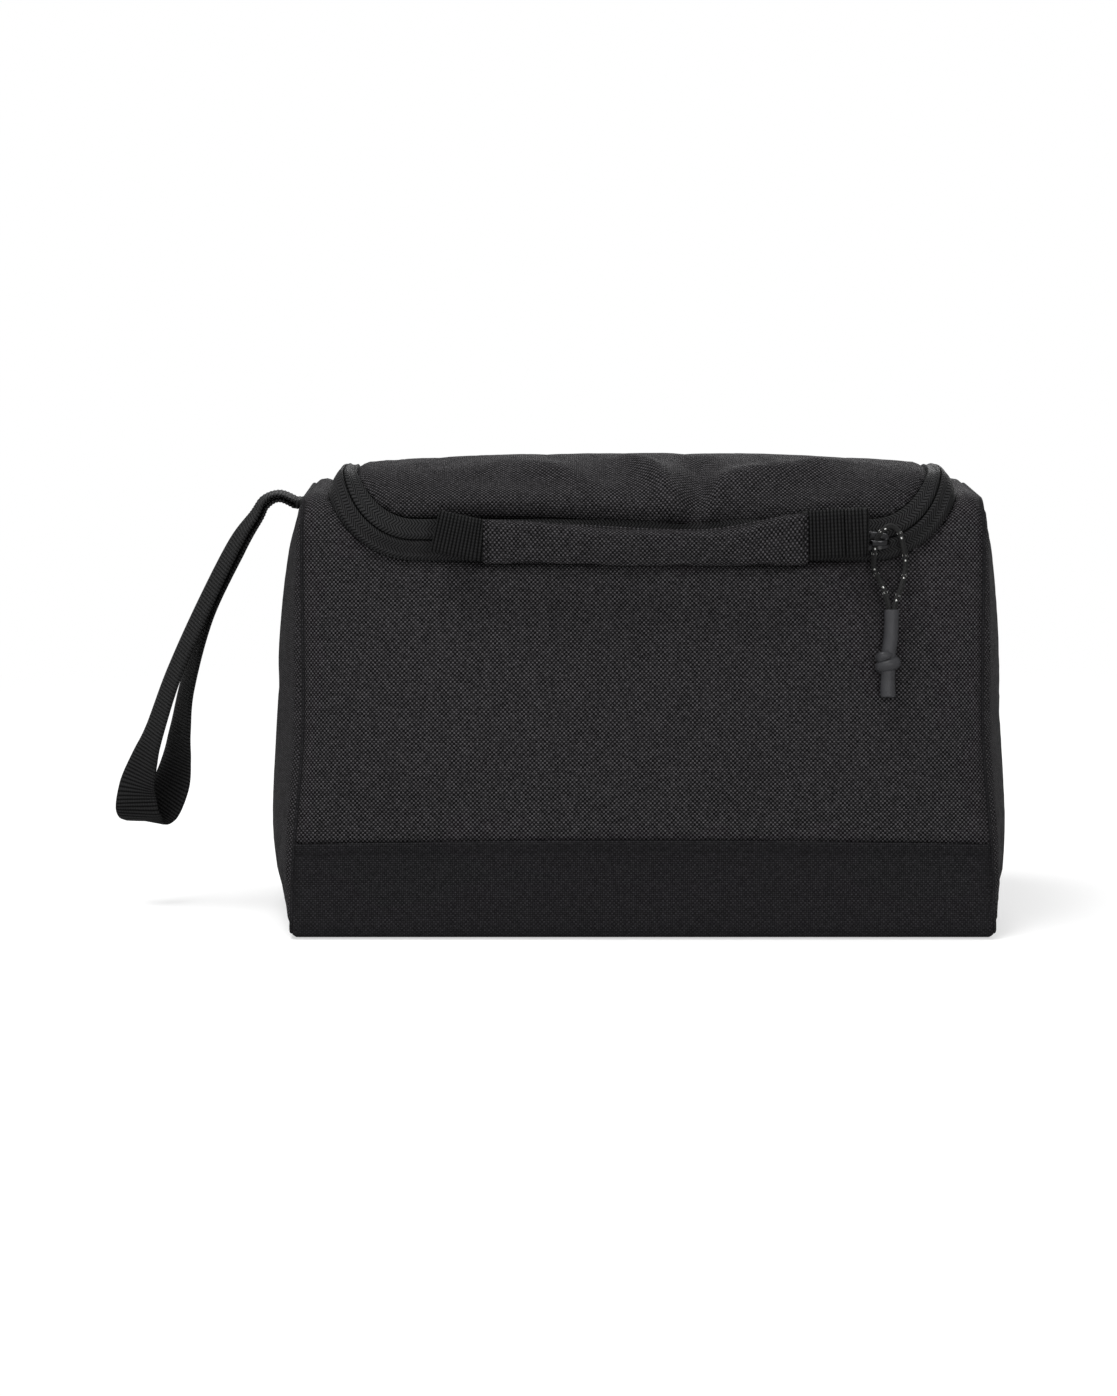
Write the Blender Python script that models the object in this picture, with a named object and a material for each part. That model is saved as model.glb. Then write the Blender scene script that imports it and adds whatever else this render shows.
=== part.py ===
"""Hanging toiletry bag with a U-shaped zip lid.

Metres, +Z up, the front faces -Y and the base rests on z = 0.
Every sewn panel is a flat pattern piece in (x, s): x runs across the bag and s runs round its
section, from the middle of the base up the front, over the top and down the back.
wrap() lays such a piece on the padded block, so neighbouring layers can never cross.
"""
import math

import bmesh
import bpy
from mathutils import Vector

for old in list(bpy.data.objects):
    bpy.data.objects.remove(old, do_unlink=True)

# Padded block: section in Y-Z and width in X
BASE_WIDTH = 0.265
BASE_DEPTH = 0.130
TOP_DEPTH = 0.092
BODY_HEIGHT = 0.166
BASE_RADIUS = 0.008
TOP_RADIUS = 0.018
TOP_NARROWING = 0.0030
FRONT_PUFF = 0.0040
BACK_PUFF = 0.0030
SIDE_BULGE = 0.0085
SIDE_CENTRE_Z = 0.074
EDGE_ROLL = 0.011
EDGE_DROP_TOP = 0.0075
EDGE_DROP_LOW = 0.0015

# Sewn layers, measured inwards from the outer skin
FABRIC = 0.0010
FOAM = 0.0024
LINING = 0.0006
GAP = 0.0003
SEAM_GAP = 0.0003
SIDE_GAP = 0.0009
SIDE_FOAM_REACH = 0.90

# Seams across the section: the band above the base, the others below the body's top
BAND_HEIGHT = 0.0365
ZIP_DROP = 0.0168
HINGE_DROP = 0.0030
ROLL_FROM = 0.048
ROLL_TO = 0.006
BASE_ROLL = 0.020

# U-shaped zip: half width and corner radius of its middle line, and how far it spreads
ZIP_HALF_WIDTH = 0.1165
ZIP_CORNER = 0.0290
ZIP_SPREAD_FRONT = 0.0145
ZIP_SPREAD_SIDE = 0.0105
LID_FRONT_RISE = 0.0040
LID_TOP_RISE = 0.0120
LID_SIDE_FALL = 0.0030
LID_SKEW = 0.08
TAPE = 0.0008
TAPE_SINK = 0.0004
TAPE_EDGE = 0.02
TAPE_SPLIT = 0.06
TAPE_COLUMNS = 3
COIL_HEIGHT = 0.0015
COIL_FROM = 0.30
COIL_TO = 0.43

# Zip slider: plates above and below the tapes, a post between them and a bridge for the cord
SLIDER_X = 0.0880
SLIDER_LENGTH = 0.0090
SLIDER_WIDTH = 0.0080
SLIDER_PLATE = 0.0014
SLIDER_TOP_GAP = 0.0008
SLIDER_LOW_GAP = 0.0032
POST_LENGTH = 0.0030
POST_WIDTH = 0.0008
BRIDGE_FOOT = 0.0014
BRIDGE_WIDTH = 0.0022
BRIDGE_THICK = 0.0014
BRIDGE_ROOM = 0.0028
BRIDGE_INSET = 0.0002

# Pull cord and sleeve
CORD_DIAMETER = 0.0020
CORD_IN_SLEEVE = 0.0050
CORD_NECK = 0.0010
CORD_ARCH = 0.0062
CORD_SPREAD = 0.0105
CORD_LOW = 0.0105
SLEEVE_WIDTH = 0.0056
SLEEVE_DEPTH = 0.0040
SLEEVE_WALL = 0.0005
SLEEVE_BORE = 0.0070
SLEEVE_BESIDE = 0.0050
SLEEVE_DROP = 0.0260
SLEEVE_LENGTH = 0.0325
SLEEVE_OFF = 0.0056

# Handle: webbing strip in front of the zip, hung from the lid lip by two tabs
WEBBING_WIDTH = 0.0200
WEBBING = 0.0014
HANDLE_LEFT = -0.0780
HANDLE_RIGHT = 0.0825
HANDLE_STAND_OFF = 0.0086
HANDLE_WIDTH = 0.0160
HANDLE_TOP = 0.0098
HANDLE_FOLD = 0.0070
TAB_LENGTH = 0.0120
TAB_CLEARANCE = 0.0010
TAB_INSET = 0.0006
GRIP_LEFT = -0.0600
GRIP_RIGHT = 0.0615
GRIP_FABRIC = 0.0008
GRIP_FOAM = 0.0020

# Hanging loop
LOOP_THICK = 0.0014
LOOP_ROOT_DROP = 0.0070
LOOP_ROOT_GAP = 0.0026
LOOP_FALL = 0.1245
LOOP_REACH = 0.0630
LOOP_SWAY = 0.0050

# Inside
BOARD_MARGIN_X = 0.012
BOARD_MARGIN_Y = 0.009
BINDING_WIDTH = 0.0080
BINDING_THICK = 0.0016
POCKET_HALF_WIDTH = 0.100
POCKET_LOW = 0.022
POCKET_HIGH = 0.092
POCKET_STAND_OFF = 0.0022
POCKET_BINDING = 0.008

HALF_W = BASE_WIDTH / 2
ZIP_MID_HEIGHT = BODY_HEIGHT - ZIP_DROP
HINGE_HEIGHT = BODY_HEIGHT - HINGE_DROP
SLEEVE_X = SLIDER_X + SLEEVE_BESIDE
SLEEVE_TOP = ZIP_MID_HEIGHT - SLEEVE_DROP
FOAM_TOP = FABRIC + GAP
FOAM_LOW = FOAM_TOP + FOAM
LINING_TOP = FOAM_LOW + GAP
LINING_LOW = LINING_TOP + LINING


def smooth(low, high, value):
    """Ease from 0 to 1 between two values."""
    t = min(1.0, max(0.0, (value - low) / (high - low)))
    return t * t * (3 - 2 * t)


def section_pieces():
    """Straight and arc pieces of the rounded section as (length, start, normal, radius)."""
    half_base = BASE_DEPTH / 2
    half_top = TOP_DEPTH / 2
    corners = [Vector((-half_base, 0)), Vector((-half_top, BODY_HEIGHT)),
               Vector((half_top, BODY_HEIGHT)), Vector((half_base, 0))]
    radii = [BASE_RADIUS, TOP_RADIUS, TOP_RADIUS, BASE_RADIUS]
    ends = corners[1:] + [Vector((0, 0))]
    at = Vector((0, 0))
    pieces = []
    for corner, radius, after in zip(corners, radii, ends):
        way = (corner - at).normalized()
        way_on = (after - corner).normalized()
        turn = way.angle(way_on)
        back_off = radius * math.tan(turn / 2)
        normal = Vector((-way.y, way.x))
        length = (corner - at).length - back_off
        pieces.append((length, at.copy(), normal, 0.0))
        start = corner - way * back_off
        pieces.append((radius * turn, start, normal, radius))
        at = corner + way_on * back_off
    way = (Vector((0, 0)) - at).normalized()
    pieces.append((at.length, at.copy(), Vector((-way.y, way.x)), 0.0))
    return pieces


PIECES = section_pieces()
ROUND = sum(piece[0] for piece in PIECES)


def section(s):
    """Point and outward normal in the Y-Z plane at distance s round the section."""
    s = s % ROUND
    for length, start, normal, radius in PIECES:
        if s <= length:
            break
        s -= length
    if radius == 0.0:
        way = Vector((normal.y, -normal.x))
        return start + way * s, normal
    turn = s / radius
    turned = Vector((normal.x * math.cos(turn) + normal.y * math.sin(turn),
                     normal.y * math.cos(turn) - normal.x * math.sin(turn)))
    return start - normal * radius + turned * radius, turned


def find_s(height, low, high):
    """Distance s between low and high at which the section reaches a height."""
    rising = section(high)[0].y > section(low)[0].y
    for _ in range(50):
        middle = (low + high) / 2
        if (section(middle)[0].y < height) == rising:
            low = middle
        else:
            high = middle
    return (low + high) / 2


STARTS = [sum(piece[0] for piece in PIECES[:k]) for k in range(len(PIECES) + 1)]
S_TOP = (STARTS[4] + STARTS[5]) / 2
S_BAND_FRONT = find_s(BAND_HEIGHT, STARTS[2], STARTS[3])
S_ZIP = find_s(ZIP_MID_HEIGHT, STARTS[2], S_TOP)
S_ZIP_BODY = S_ZIP - ZIP_SPREAD_FRONT / 2
S_ZIP_LID = S_ZIP + ZIP_SPREAD_FRONT / 2
S_HINGE = find_s(HINGE_HEIGHT, S_TOP, STARTS[7])
S_BAND_BACK = find_s(BAND_HEIGHT, STARTS[6], STARTS[7])
S_FOAM_FRONT = S_ZIP_BODY - FOAM
S_FOAM_BACK = S_HINGE + TOP_RADIUS
S_POCKET_HIGH = find_s(POCKET_HIGH, STARTS[6], STARTS[7])
S_POCKET_LOW = find_s(POCKET_LOW, STARTS[6], STARTS[7])


def edge_drop(x, s):
    """How far the skin rolls in towards the side seam."""
    t = (abs(x) - (HALF_W - EDGE_ROLL)) / EDGE_ROLL
    if t <= 0:
        return 0.0
    height = section(s)[0].y
    low = EDGE_DROP_LOW * smooth(0.0, BASE_ROLL, height)
    high = smooth(BODY_HEIGHT - ROLL_FROM, BODY_HEIGHT - ROLL_TO, height)
    deep = low + (EDGE_DROP_TOP - low) * high
    return deep * t * t


def puff(x, s):
    """Padding of the front and back faces, less the roll at the side seams."""
    s = s % ROUND
    across = 1 - (x / HALF_W) ** 2
    out = 0.0
    if STARTS[2] < s < S_ZIP_BODY:
        out = FRONT_PUFF * math.sin(math.pi * (s - STARTS[2]) / (S_ZIP_BODY - STARTS[2]))
    elif STARTS[6] < s < STARTS[7]:
        out = BACK_PUFF * math.sin(math.pi * (s - STARTS[6]) / (STARTS[7] - STARTS[6]))
    return out * across - edge_drop(x, s)


def narrow(z):
    """Width factor: the bag is a little narrower at the top."""
    return 1 - TOP_NARROWING / HALF_W * z / BODY_HEIGHT


def wrap(x, s, n):
    """Lay the pattern point (x, s) on the block, n outside its skin."""
    at, normal = section(s)
    at = at + normal * (puff(x, s) + n)
    return Vector((x * narrow(at.y), at.x, at.y))


def lid_rise(x, s):
    """Height of the domed lid above the block."""
    t = min(1.0, max(0.0, (s - S_ZIP_LID) / (S_HINGE - S_ZIP_LID)))
    base = LID_FRONT_RISE * (1 - t)
    dome = math.sin(math.pi * (t + LID_SKEW * math.sin(math.pi * t)))
    side = (x / ZIP_HALF_WIDTH) ** 2
    return base + dome * (LID_TOP_RISE - LID_FRONT_RISE / 2 - LID_SIDE_FALL * side)


def u_path(share):
    """Pattern points of the U from its left hinge end to its right one; share 0 body, 1 lid."""
    half = ZIP_HALF_WIDTH - ZIP_SPREAD_SIDE * (share - 0.5)
    front = S_ZIP + ZIP_SPREAD_FRONT * (share - 0.5)
    corner = ZIP_CORNER - ZIP_SPREAD_SIDE * (share - 0.5)
    right = []
    straight = half - corner
    for k in range(2):
        right.append((straight * k / 2, front))
    for k in range(7):
        turn = math.pi / 2 * k / 6
        right.append((straight + corner * math.sin(turn), front + corner * (1 - math.cos(turn))))
    begin = front + corner
    for k in range(1, 7):
        right.append((half, begin + (S_HINGE - SEAM_GAP - begin) * k / 6))
    left = [(-x, s) for x, s in reversed(right[1:])]
    return left + right


LID_EDGE = u_path(1.0)
U_RISE = [lid_rise(x, s) for x, s in LID_EDGE]


def spaced(low, high, count):
    """Evenly spaced values from low to high, ends included."""
    return [low + (high - low) * k / count for k in range(count + 1)]


def pattern_lines():
    """Lines on which every pattern piece is creased, so that all layers bend alike."""
    s_lines = []
    steps = (1, 3, 4, 7, 6, 5, 4, 3, 1)
    for k, count in enumerate(steps):
        s_lines += spaced(STARTS[k], STARTS[k + 1], count)[:-1]
    s_lines = sorted(s_lines + [S_FOAM_FRONT, S_FOAM_BACK])
    s_lines += [s - ROUND for s in s_lines]
    x_lines = spaced(-HALF_W + EDGE_ROLL, HALF_W - EDGE_ROLL, 6)
    for part in (1 / 3, 2 / 3):
        x_lines += [HALF_W - EDGE_ROLL * part, -HALF_W + EDGE_ROLL * part]
    return x_lines, s_lines


X_LINES, S_LINES = pattern_lines()


def finish_material(name, colour, rough, metal=0.0):
    """One plain material with a colour, roughness and metal value."""
    material = bpy.data.materials.new(name)
    material.use_nodes = True
    shader = material.node_tree.nodes["Principled BSDF"]
    shader.inputs["Base Color"].default_value = (*colour, 1.0)
    shader.inputs["Roughness"].default_value = rough
    shader.inputs["Metallic"].default_value = metal
    return material


OXFORD = finish_material("oxford_fabric", (0.028, 0.027, 0.028), 0.85)
OXFORD_DARK = finish_material("base_fabric", (0.016, 0.016, 0.017), 0.85)
FOAM_GREY = finish_material("foam", (0.30, 0.30, 0.31), 0.95)
LINING_GREY = finish_material("lining", (0.07, 0.07, 0.075), 0.75)
WEB_BLACK = finish_material("webbing", (0.010, 0.010, 0.010), 0.80)
TAPE_BLACK = finish_material("zip_tape", (0.012, 0.012, 0.012), 0.80)
COIL_BLACK = finish_material("zip_coil", (0.015, 0.015, 0.015), 0.45)
SLIDER_METAL = finish_material("slider_metal", (0.035, 0.035, 0.037), 0.32, 1.0)
CORD_BLACK = finish_material("cord", (0.012, 0.012, 0.012), 0.80)
SLEEVE_GREY = finish_material("sleeve_rubber", (0.085, 0.085, 0.088), 0.60)
BOARD_GREY = finish_material("board", (0.12, 0.12, 0.12), 0.70)
MESH_BLACK = finish_material("mesh", (0.02, 0.02, 0.02), 0.80)


def add_object(name, bm, material, origin=None, round_shade=False):
    """Make one named object from a closed mesh, its origin on the joint axis if it has one."""
    bmesh.ops.recalc_face_normals(bm, faces=bm.faces[:])
    if bm.calc_volume(signed=True) < 0:
        bmesh.ops.reverse_faces(bm, faces=bm.faces[:])
    origin = Vector(origin) if origin else Vector((0, 0, 0))
    bmesh.ops.translate(bm, verts=bm.verts[:], vec=-origin)
    mesh = bpy.data.meshes.new(name)
    bm.to_mesh(mesh)
    bm.free()
    mesh.materials.append(material)
    if round_shade:
        mesh.shade_smooth()
    thing = bpy.data.objects.new(name, mesh)
    thing.location = origin
    bpy.context.scene.collection.objects.link(thing)
    return thing


def thicken(bm, outer_of, inner_of):
    """Turn a flat pattern mesh into a closed sheet between two mapped surfaces."""
    sheet = bmesh.new()
    tops = {v: sheet.verts.new(outer_of(v.co.x, v.co.y)) for v in bm.verts}
    lows = {v: sheet.verts.new(inner_of(v.co.x, v.co.y)) for v in bm.verts}
    for face in bm.faces:
        sheet.faces.new([tops[v] for v in face.verts])
        sheet.faces.new([lows[v] for v in reversed(face.verts)])
    for edge in bm.edges:
        if len(edge.link_faces) == 1:
            a, b = edge.verts
            sheet.faces.new([tops[a], tops[b], lows[b], lows[a]])
    bm.free()
    bmesh.ops.triangulate(sheet, faces=sheet.faces[:])
    return sheet


def pattern(outline):
    """Flat pattern piece creased on the shared lines."""
    bm = bmesh.new()
    bm.faces.new([bm.verts.new((x, s, 0)) for x, s in outline])
    for lines, way in ((X_LINES, Vector((1, 0, 0))), (S_LINES, Vector((0, 1, 0)))):
        for line in lines:
            bmesh.ops.bisect_plane(bm, geom=bm.verts[:] + bm.edges[:] + bm.faces[:], dist=1e-6,
                                   plane_co=way * line, plane_no=way)
    return bm


def panel(name, outline, top, low, material, rise=None, origin=None):
    """Sewn panel between two depths below the skin."""
    lift = rise or (lambda x, s: 0.0)
    sheet = thicken(pattern(outline), lambda x, s: wrap(x, s, lift(x, s) - top),
                    lambda x, s: wrap(x, s, lift(x, s) - low))
    return add_object(name, sheet, material, origin)


def box(x_low, x_high, s_low, s_high):
    """Rectangular pattern outline."""
    return [(x_low, s_low), (x_high, s_low), (x_high, s_high), (x_low, s_high)]


def ring_sweep(rings, closed=False):
    """Closed body through equal rings of points, capped unless it closes on itself."""
    bm = bmesh.new()
    rows = [[bm.verts.new(p) for p in ring] for ring in rings]
    around = len(rows[0])
    pairs = list(zip(rows, rows[1:]))
    if closed:
        pairs.append((rows[-1], rows[0]))
    for a, b in pairs:
        for k in range(around):
            m = (k + 1) % around
            bm.faces.new([a[k], a[m], b[m], b[k]])
    if not closed:
        bm.faces.new(rows[0])
        bm.faces.new(list(reversed(rows[-1])))
    return bm


def u_strip(name, low_share, high_share, top, low, material, columns, origin=None):
    """Strip along the U between two shares of the zip width."""
    shares = spaced(low_share, high_share, columns)
    paths = [u_path(share) for share in shares]
    rings = []
    for k, rise in enumerate(U_RISE):
        outer = []
        inner = []
        for share, path in zip(shares, paths):
            outer.append(wrap(*path[k], rise * share - top))
            inner.append(wrap(*path[k], rise * share - low))
        rings.append(outer + list(reversed(inner)))
    bm = ring_sweep(rings)
    bmesh.ops.triangulate(bm, faces=bm.faces[:])
    return add_object(name, bm, material, origin)


def side_swell(y, z):
    """How far a side panel bulges out of its seam plane."""
    half_depth = BASE_DEPTH / 2 + (TOP_DEPTH - BASE_DEPTH) / 2 * z / BODY_HEIGHT
    along = 1 - (y / half_depth) ** 2
    up = 1 - (2 * z / BODY_HEIGHT - 1) ** 2
    return SIDE_BULGE * max(0.0, along) * max(0.0, up)


def side_disc(name, sign, inset, start, thickness, material, reach=1.0):
    """Bulged side panel inside the section, start outside the side seam plane."""
    rims = [wrap(HALF_W, s, -inset) for s in S_LINES if s >= 0]
    bm = bmesh.new()
    rows = []
    for depth in (start + thickness, start):
        layer = []
        for share in (reach, reach * 0.78, reach * 0.50, reach * 0.24):
            ring = []
            for rim in rims:
                y = rim.y * share
                z = SIDE_CENTRE_Z + (rim.z - SIDE_CENTRE_Z) * share
                x = (HALF_W + depth + side_swell(y, z)) * narrow(z)
                ring.append(bm.verts.new((sign * x, y, z)))
            layer.append(ring)
        x = (HALF_W + depth + side_swell(0, SIDE_CENTRE_Z)) * narrow(SIDE_CENTRE_Z)
        rows.append((layer, bm.verts.new((sign * x, 0, SIDE_CENTRE_Z))))
    count = len(rims)
    for layer, middle in rows:
        for a, b in zip(layer, layer[1:]):
            for k in range(count):
                m = (k + 1) % count
                bm.faces.new([a[k], a[m], b[m], b[k]])
        for k in range(count):
            bm.faces.new([layer[-1][k], layer[-1][(k + 1) % count], middle])
    outer, inner = rows[0][0][0], rows[1][0][0]
    for k in range(count):
        m = (k + 1) % count
        bm.faces.new([outer[k], inner[k], inner[m], outer[m]])
    bmesh.ops.triangulate(bm, faces=bm.faces[:])
    return add_object(name, bm, material)


def seam_binding(name, sign):
    """Bound seam allowance that stands inwards along one side seam."""
    outer = LINING_LOW + GAP
    far = HALF_W - LINING_LOW - GAP
    near = far - BINDING_THICK
    rings = []
    for s in [s for s in S_LINES if s >= 0]:
        ring = []
        for x, depth in ((far, outer), (far, outer + BINDING_WIDTH),
                         (near, outer + BINDING_WIDTH), (near, outer)):
            at, normal = section(s)
            at = at + normal * (puff(HALF_W, s) - depth)
            ring.append(Vector((sign * x * narrow(at.y), at.x, at.y)))
        rings.append(ring)
    return add_object(name, ring_sweep(rings, closed=True), WEB_BLACK)


SIDE = HALF_W - SEAM_GAP
HINGE_END = S_HINGE - SEAM_GAP
HINGE = wrap(0, S_HINGE, 0)

# Outer panels
front_outline = [(-SIDE, S_BAND_FRONT), (SIDE, S_BAND_FRONT), (SIDE, HINGE_END)]
front_outline += list(reversed(u_path(0.0))) + [(-SIDE, HINGE_END)]
panel("front_panel", front_outline, 0, FABRIC, OXFORD)
panel("base_panel", box(-SIDE, SIDE, S_BAND_BACK - ROUND, S_BAND_FRONT - SEAM_GAP), 0, FABRIC,
      OXFORD_DARK)
panel("back_panel", box(-SIDE, SIDE, S_HINGE, S_BAND_BACK - SEAM_GAP), 0, FABRIC, OXFORD)
panel("lid_panel", LID_EDGE, 0, FABRIC, OXFORD, lid_rise, HINGE)
for label, sign in (("left", -1), ("right", 1)):
    side_disc(f"{label}_side_panel", sign, 0.0, SEAM_GAP, FABRIC, OXFORD)

# Foam, board and lining
FOAM_SIDE = HALF_W - EDGE_ROLL
panel("front_padding", box(-FOAM_SIDE, FOAM_SIDE, S_BAND_FRONT, S_FOAM_FRONT), FOAM_TOP,
      FOAM_LOW, FOAM_GREY)
panel("back_padding", box(-FOAM_SIDE, FOAM_SIDE, S_FOAM_BACK, S_BAND_BACK), FOAM_TOP,
      FOAM_LOW, FOAM_GREY)
HALF_BOARD = BASE_DEPTH / 2 - BOARD_MARGIN_Y
panel("base_board", box(-HALF_W + BOARD_MARGIN_X, HALF_W - BOARD_MARGIN_X, -HALF_BOARD, HALF_BOARD),
      FOAM_TOP, FOAM_LOW, BOARD_GREY)
LINING_SIDE = HALF_W - LINING_LOW
panel("main_lining", box(-LINING_SIDE, LINING_SIDE, S_HINGE + FOAM - ROUND, S_FOAM_FRONT),
      LINING_TOP, LINING_LOW, LINING_GREY)
for label, sign in (("left", -1), ("right", 1)):
    inner = LINING_LOW + GAP
    side_disc(f"{label}_padding", sign, inner, -GAP - FOAM, FOAM, FOAM_GREY, SIDE_FOAM_REACH)
    side_disc(f"{label}_lining", sign, inner, -SIDE_GAP - FOAM - LINING, LINING, LINING_GREY)
    seam_binding(f"{label}_seam_binding", sign)


def lid_inner(share):
    """Lid outline drawn in from the zip, ending short of the hinge."""
    return [(x, min(s, S_HINGE - FOAM_LOW)) for x, s in u_path(share)]


panel("lid_padding", lid_inner(1.50), FOAM_TOP, FOAM_LOW, FOAM_GREY, lid_rise, HINGE)
panel("lid_lining", lid_inner(1.30), LINING_TOP, LINING_LOW, LINING_GREY, lid_rise, HINGE)

# Inner pocket on the back
POCKET_TOP = LINING_LOW + POCKET_STAND_OFF
panel("mesh_pocket", box(-POCKET_HALF_WIDTH, POCKET_HALF_WIDTH, S_POCKET_HIGH, S_POCKET_LOW),
      POCKET_TOP, POCKET_TOP + LINING, MESH_BLACK)
panel("pocket_binding", box(-POCKET_HALF_WIDTH, POCKET_HALF_WIDTH,
                            S_POCKET_HIGH - POCKET_BINDING, S_POCKET_HIGH - SEAM_GAP),
      POCKET_TOP - GAP, POCKET_TOP + LINING + GAP, WEB_BLACK)

# Zip
TAPE_LOW = TAPE_SINK + TAPE
COIL_TOP = TAPE_LOW + GAP
COIL_LOW = COIL_TOP + COIL_HEIGHT
INNER_SHARE = 0.5 - TAPE_SPLIT
u_strip("zip_tape_body", TAPE_EDGE, INNER_SHARE, TAPE_SINK, TAPE_LOW, TAPE_BLACK, TAPE_COLUMNS)
u_strip("zip_tape_lid", 1 - INNER_SHARE, 1 - TAPE_EDGE, TAPE_SINK, TAPE_LOW, TAPE_BLACK,
        TAPE_COLUMNS, HINGE)
u_strip("zip_coil_body", COIL_FROM, COIL_TO, COIL_TOP, COIL_LOW, COIL_BLACK, 1)
u_strip("zip_coil_lid", 1 - COIL_TO, 1 - COIL_FROM, COIL_TOP, COIL_LOW, COIL_BLACK, 1, HINGE)


def zip_point(share):
    """Point on the straight front run of the tapes."""
    s = S_ZIP + ZIP_SPREAD_FRONT * (share - 0.5)
    return wrap(0, s, LID_FRONT_RISE * share - TAPE_SINK)


ZIP_AT = zip_point(0.5)
ZIP_UP = (zip_point(0.75) - zip_point(0.25)).normalized()
ZIP_OUT = Vector((1, 0, 0)).cross(ZIP_UP)


def at_zip(u, v, w):
    """Point u across, v up and w out from the middle of the front zip run."""
    return ZIP_AT + Vector((u, 0, 0)) + ZIP_UP * v + ZIP_OUT * w


def block(u_low, u_high, v_low, v_high, w_low, w_high):
    """Temporary block in the zip frame, to be joined with others."""
    corners = [(u_low, v_low), (u_high, v_low), (u_high, v_high), (u_low, v_high)]
    rings = [[at_zip(u, v, w) for u, v in corners] for w in (w_low, w_high)]
    return add_object("joining_block", ring_sweep(rings), OXFORD)


def joined(name, blocks, material, origin, bevel):
    """Unite blocks into one body with softened edges."""
    first = blocks[0]
    for other in blocks[1:]:
        unite = first.modifiers.new("unite", "BOOLEAN")
        unite.operation = "UNION"
        unite.solver = "EXACT"
        unite.object = other
    soften = first.modifiers.new("soften", "BEVEL")
    soften.width = bevel
    soften.segments = 2
    soften.limit_method = "ANGLE"
    bpy.context.view_layer.update()
    made = first.evaluated_get(bpy.context.evaluated_depsgraph_get())
    bm = bmesh.new()
    bm.from_mesh(made.to_mesh())
    made.to_mesh_clear()
    for old in blocks:
        bpy.data.objects.remove(old, do_unlink=True)
    bmesh.ops.triangulate(bm, faces=bm.faces[:])
    return add_object(name, bm, material, origin)


# Slider
HALF_SLIDER = SLIDER_LENGTH / 2
HALF_SLIDER_W = SLIDER_WIDTH / 2
PLATE_TOP = SLIDER_TOP_GAP + SLIDER_PLATE
LOW_PLATE = -SLIDER_LOW_GAP
BAR_LOW = PLATE_TOP + BRIDGE_ROOM
BAR_TOP = BAR_LOW + BRIDGE_THICK
JOIN = SLIDER_PLATE / 2
left_end = SLIDER_X - HALF_SLIDER
right_end = SLIDER_X + HALF_SLIDER
HALF_BAR = BRIDGE_WIDTH / 2
HALF_FOOT = HALF_BAR - BRIDGE_INSET
foot_left = left_end + BRIDGE_INSET * 2
foot_right = right_end - BRIDGE_INSET * 2
slider_blocks = [
    block(left_end, right_end, -HALF_SLIDER_W, HALF_SLIDER_W, SLIDER_TOP_GAP, PLATE_TOP),
    block(SLIDER_X - POST_LENGTH / 2, SLIDER_X + POST_LENGTH / 2, -POST_WIDTH / 2, POST_WIDTH / 2,
          LOW_PLATE - JOIN, SLIDER_TOP_GAP + JOIN),
    block(left_end, right_end, -HALF_SLIDER_W, HALF_SLIDER_W, LOW_PLATE - SLIDER_PLATE, LOW_PLATE),
    block(foot_left, foot_left + BRIDGE_FOOT, -HALF_FOOT, HALF_FOOT, PLATE_TOP - JOIN,
          BAR_LOW + JOIN),
    block(foot_right - BRIDGE_FOOT, foot_right, -HALF_FOOT, HALF_FOOT, PLATE_TOP - JOIN,
          BAR_LOW + JOIN),
    block(left_end + BRIDGE_INSET, right_end - BRIDGE_INSET, -HALF_BAR, HALF_BAR, BAR_LOW, BAR_TOP),
]
SLIDER_ORIGIN = at_zip(SLIDER_X, 0, 0)
joined("zip_slider", slider_blocks, SLIDER_METAL, SLIDER_ORIGIN, BRIDGE_INSET / 2)


def on_front(x, height, n):
    """Point n outside the front panel at a true x and a height."""
    s = find_s(height, STARTS[2], S_TOP)
    return wrap(x / narrow(height), s, n)


def smooth_route(points, steps):
    """Smooth curve through hand-chosen route points."""
    route = [points[0]] + list(points) + [points[-1]]
    curve = []
    for a, b, c, d in zip(route, route[1:], route[2:], route[3:]):
        for k in range(steps):
            t = k / steps
            curve.append(0.5 * (2 * b + (c - a) * t + (2 * a - 5 * b + 4 * c - d) * t * t
                                + (3 * b - a - 3 * c + d) * t ** 3))
    return curve + [points[-1].copy()]


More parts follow.
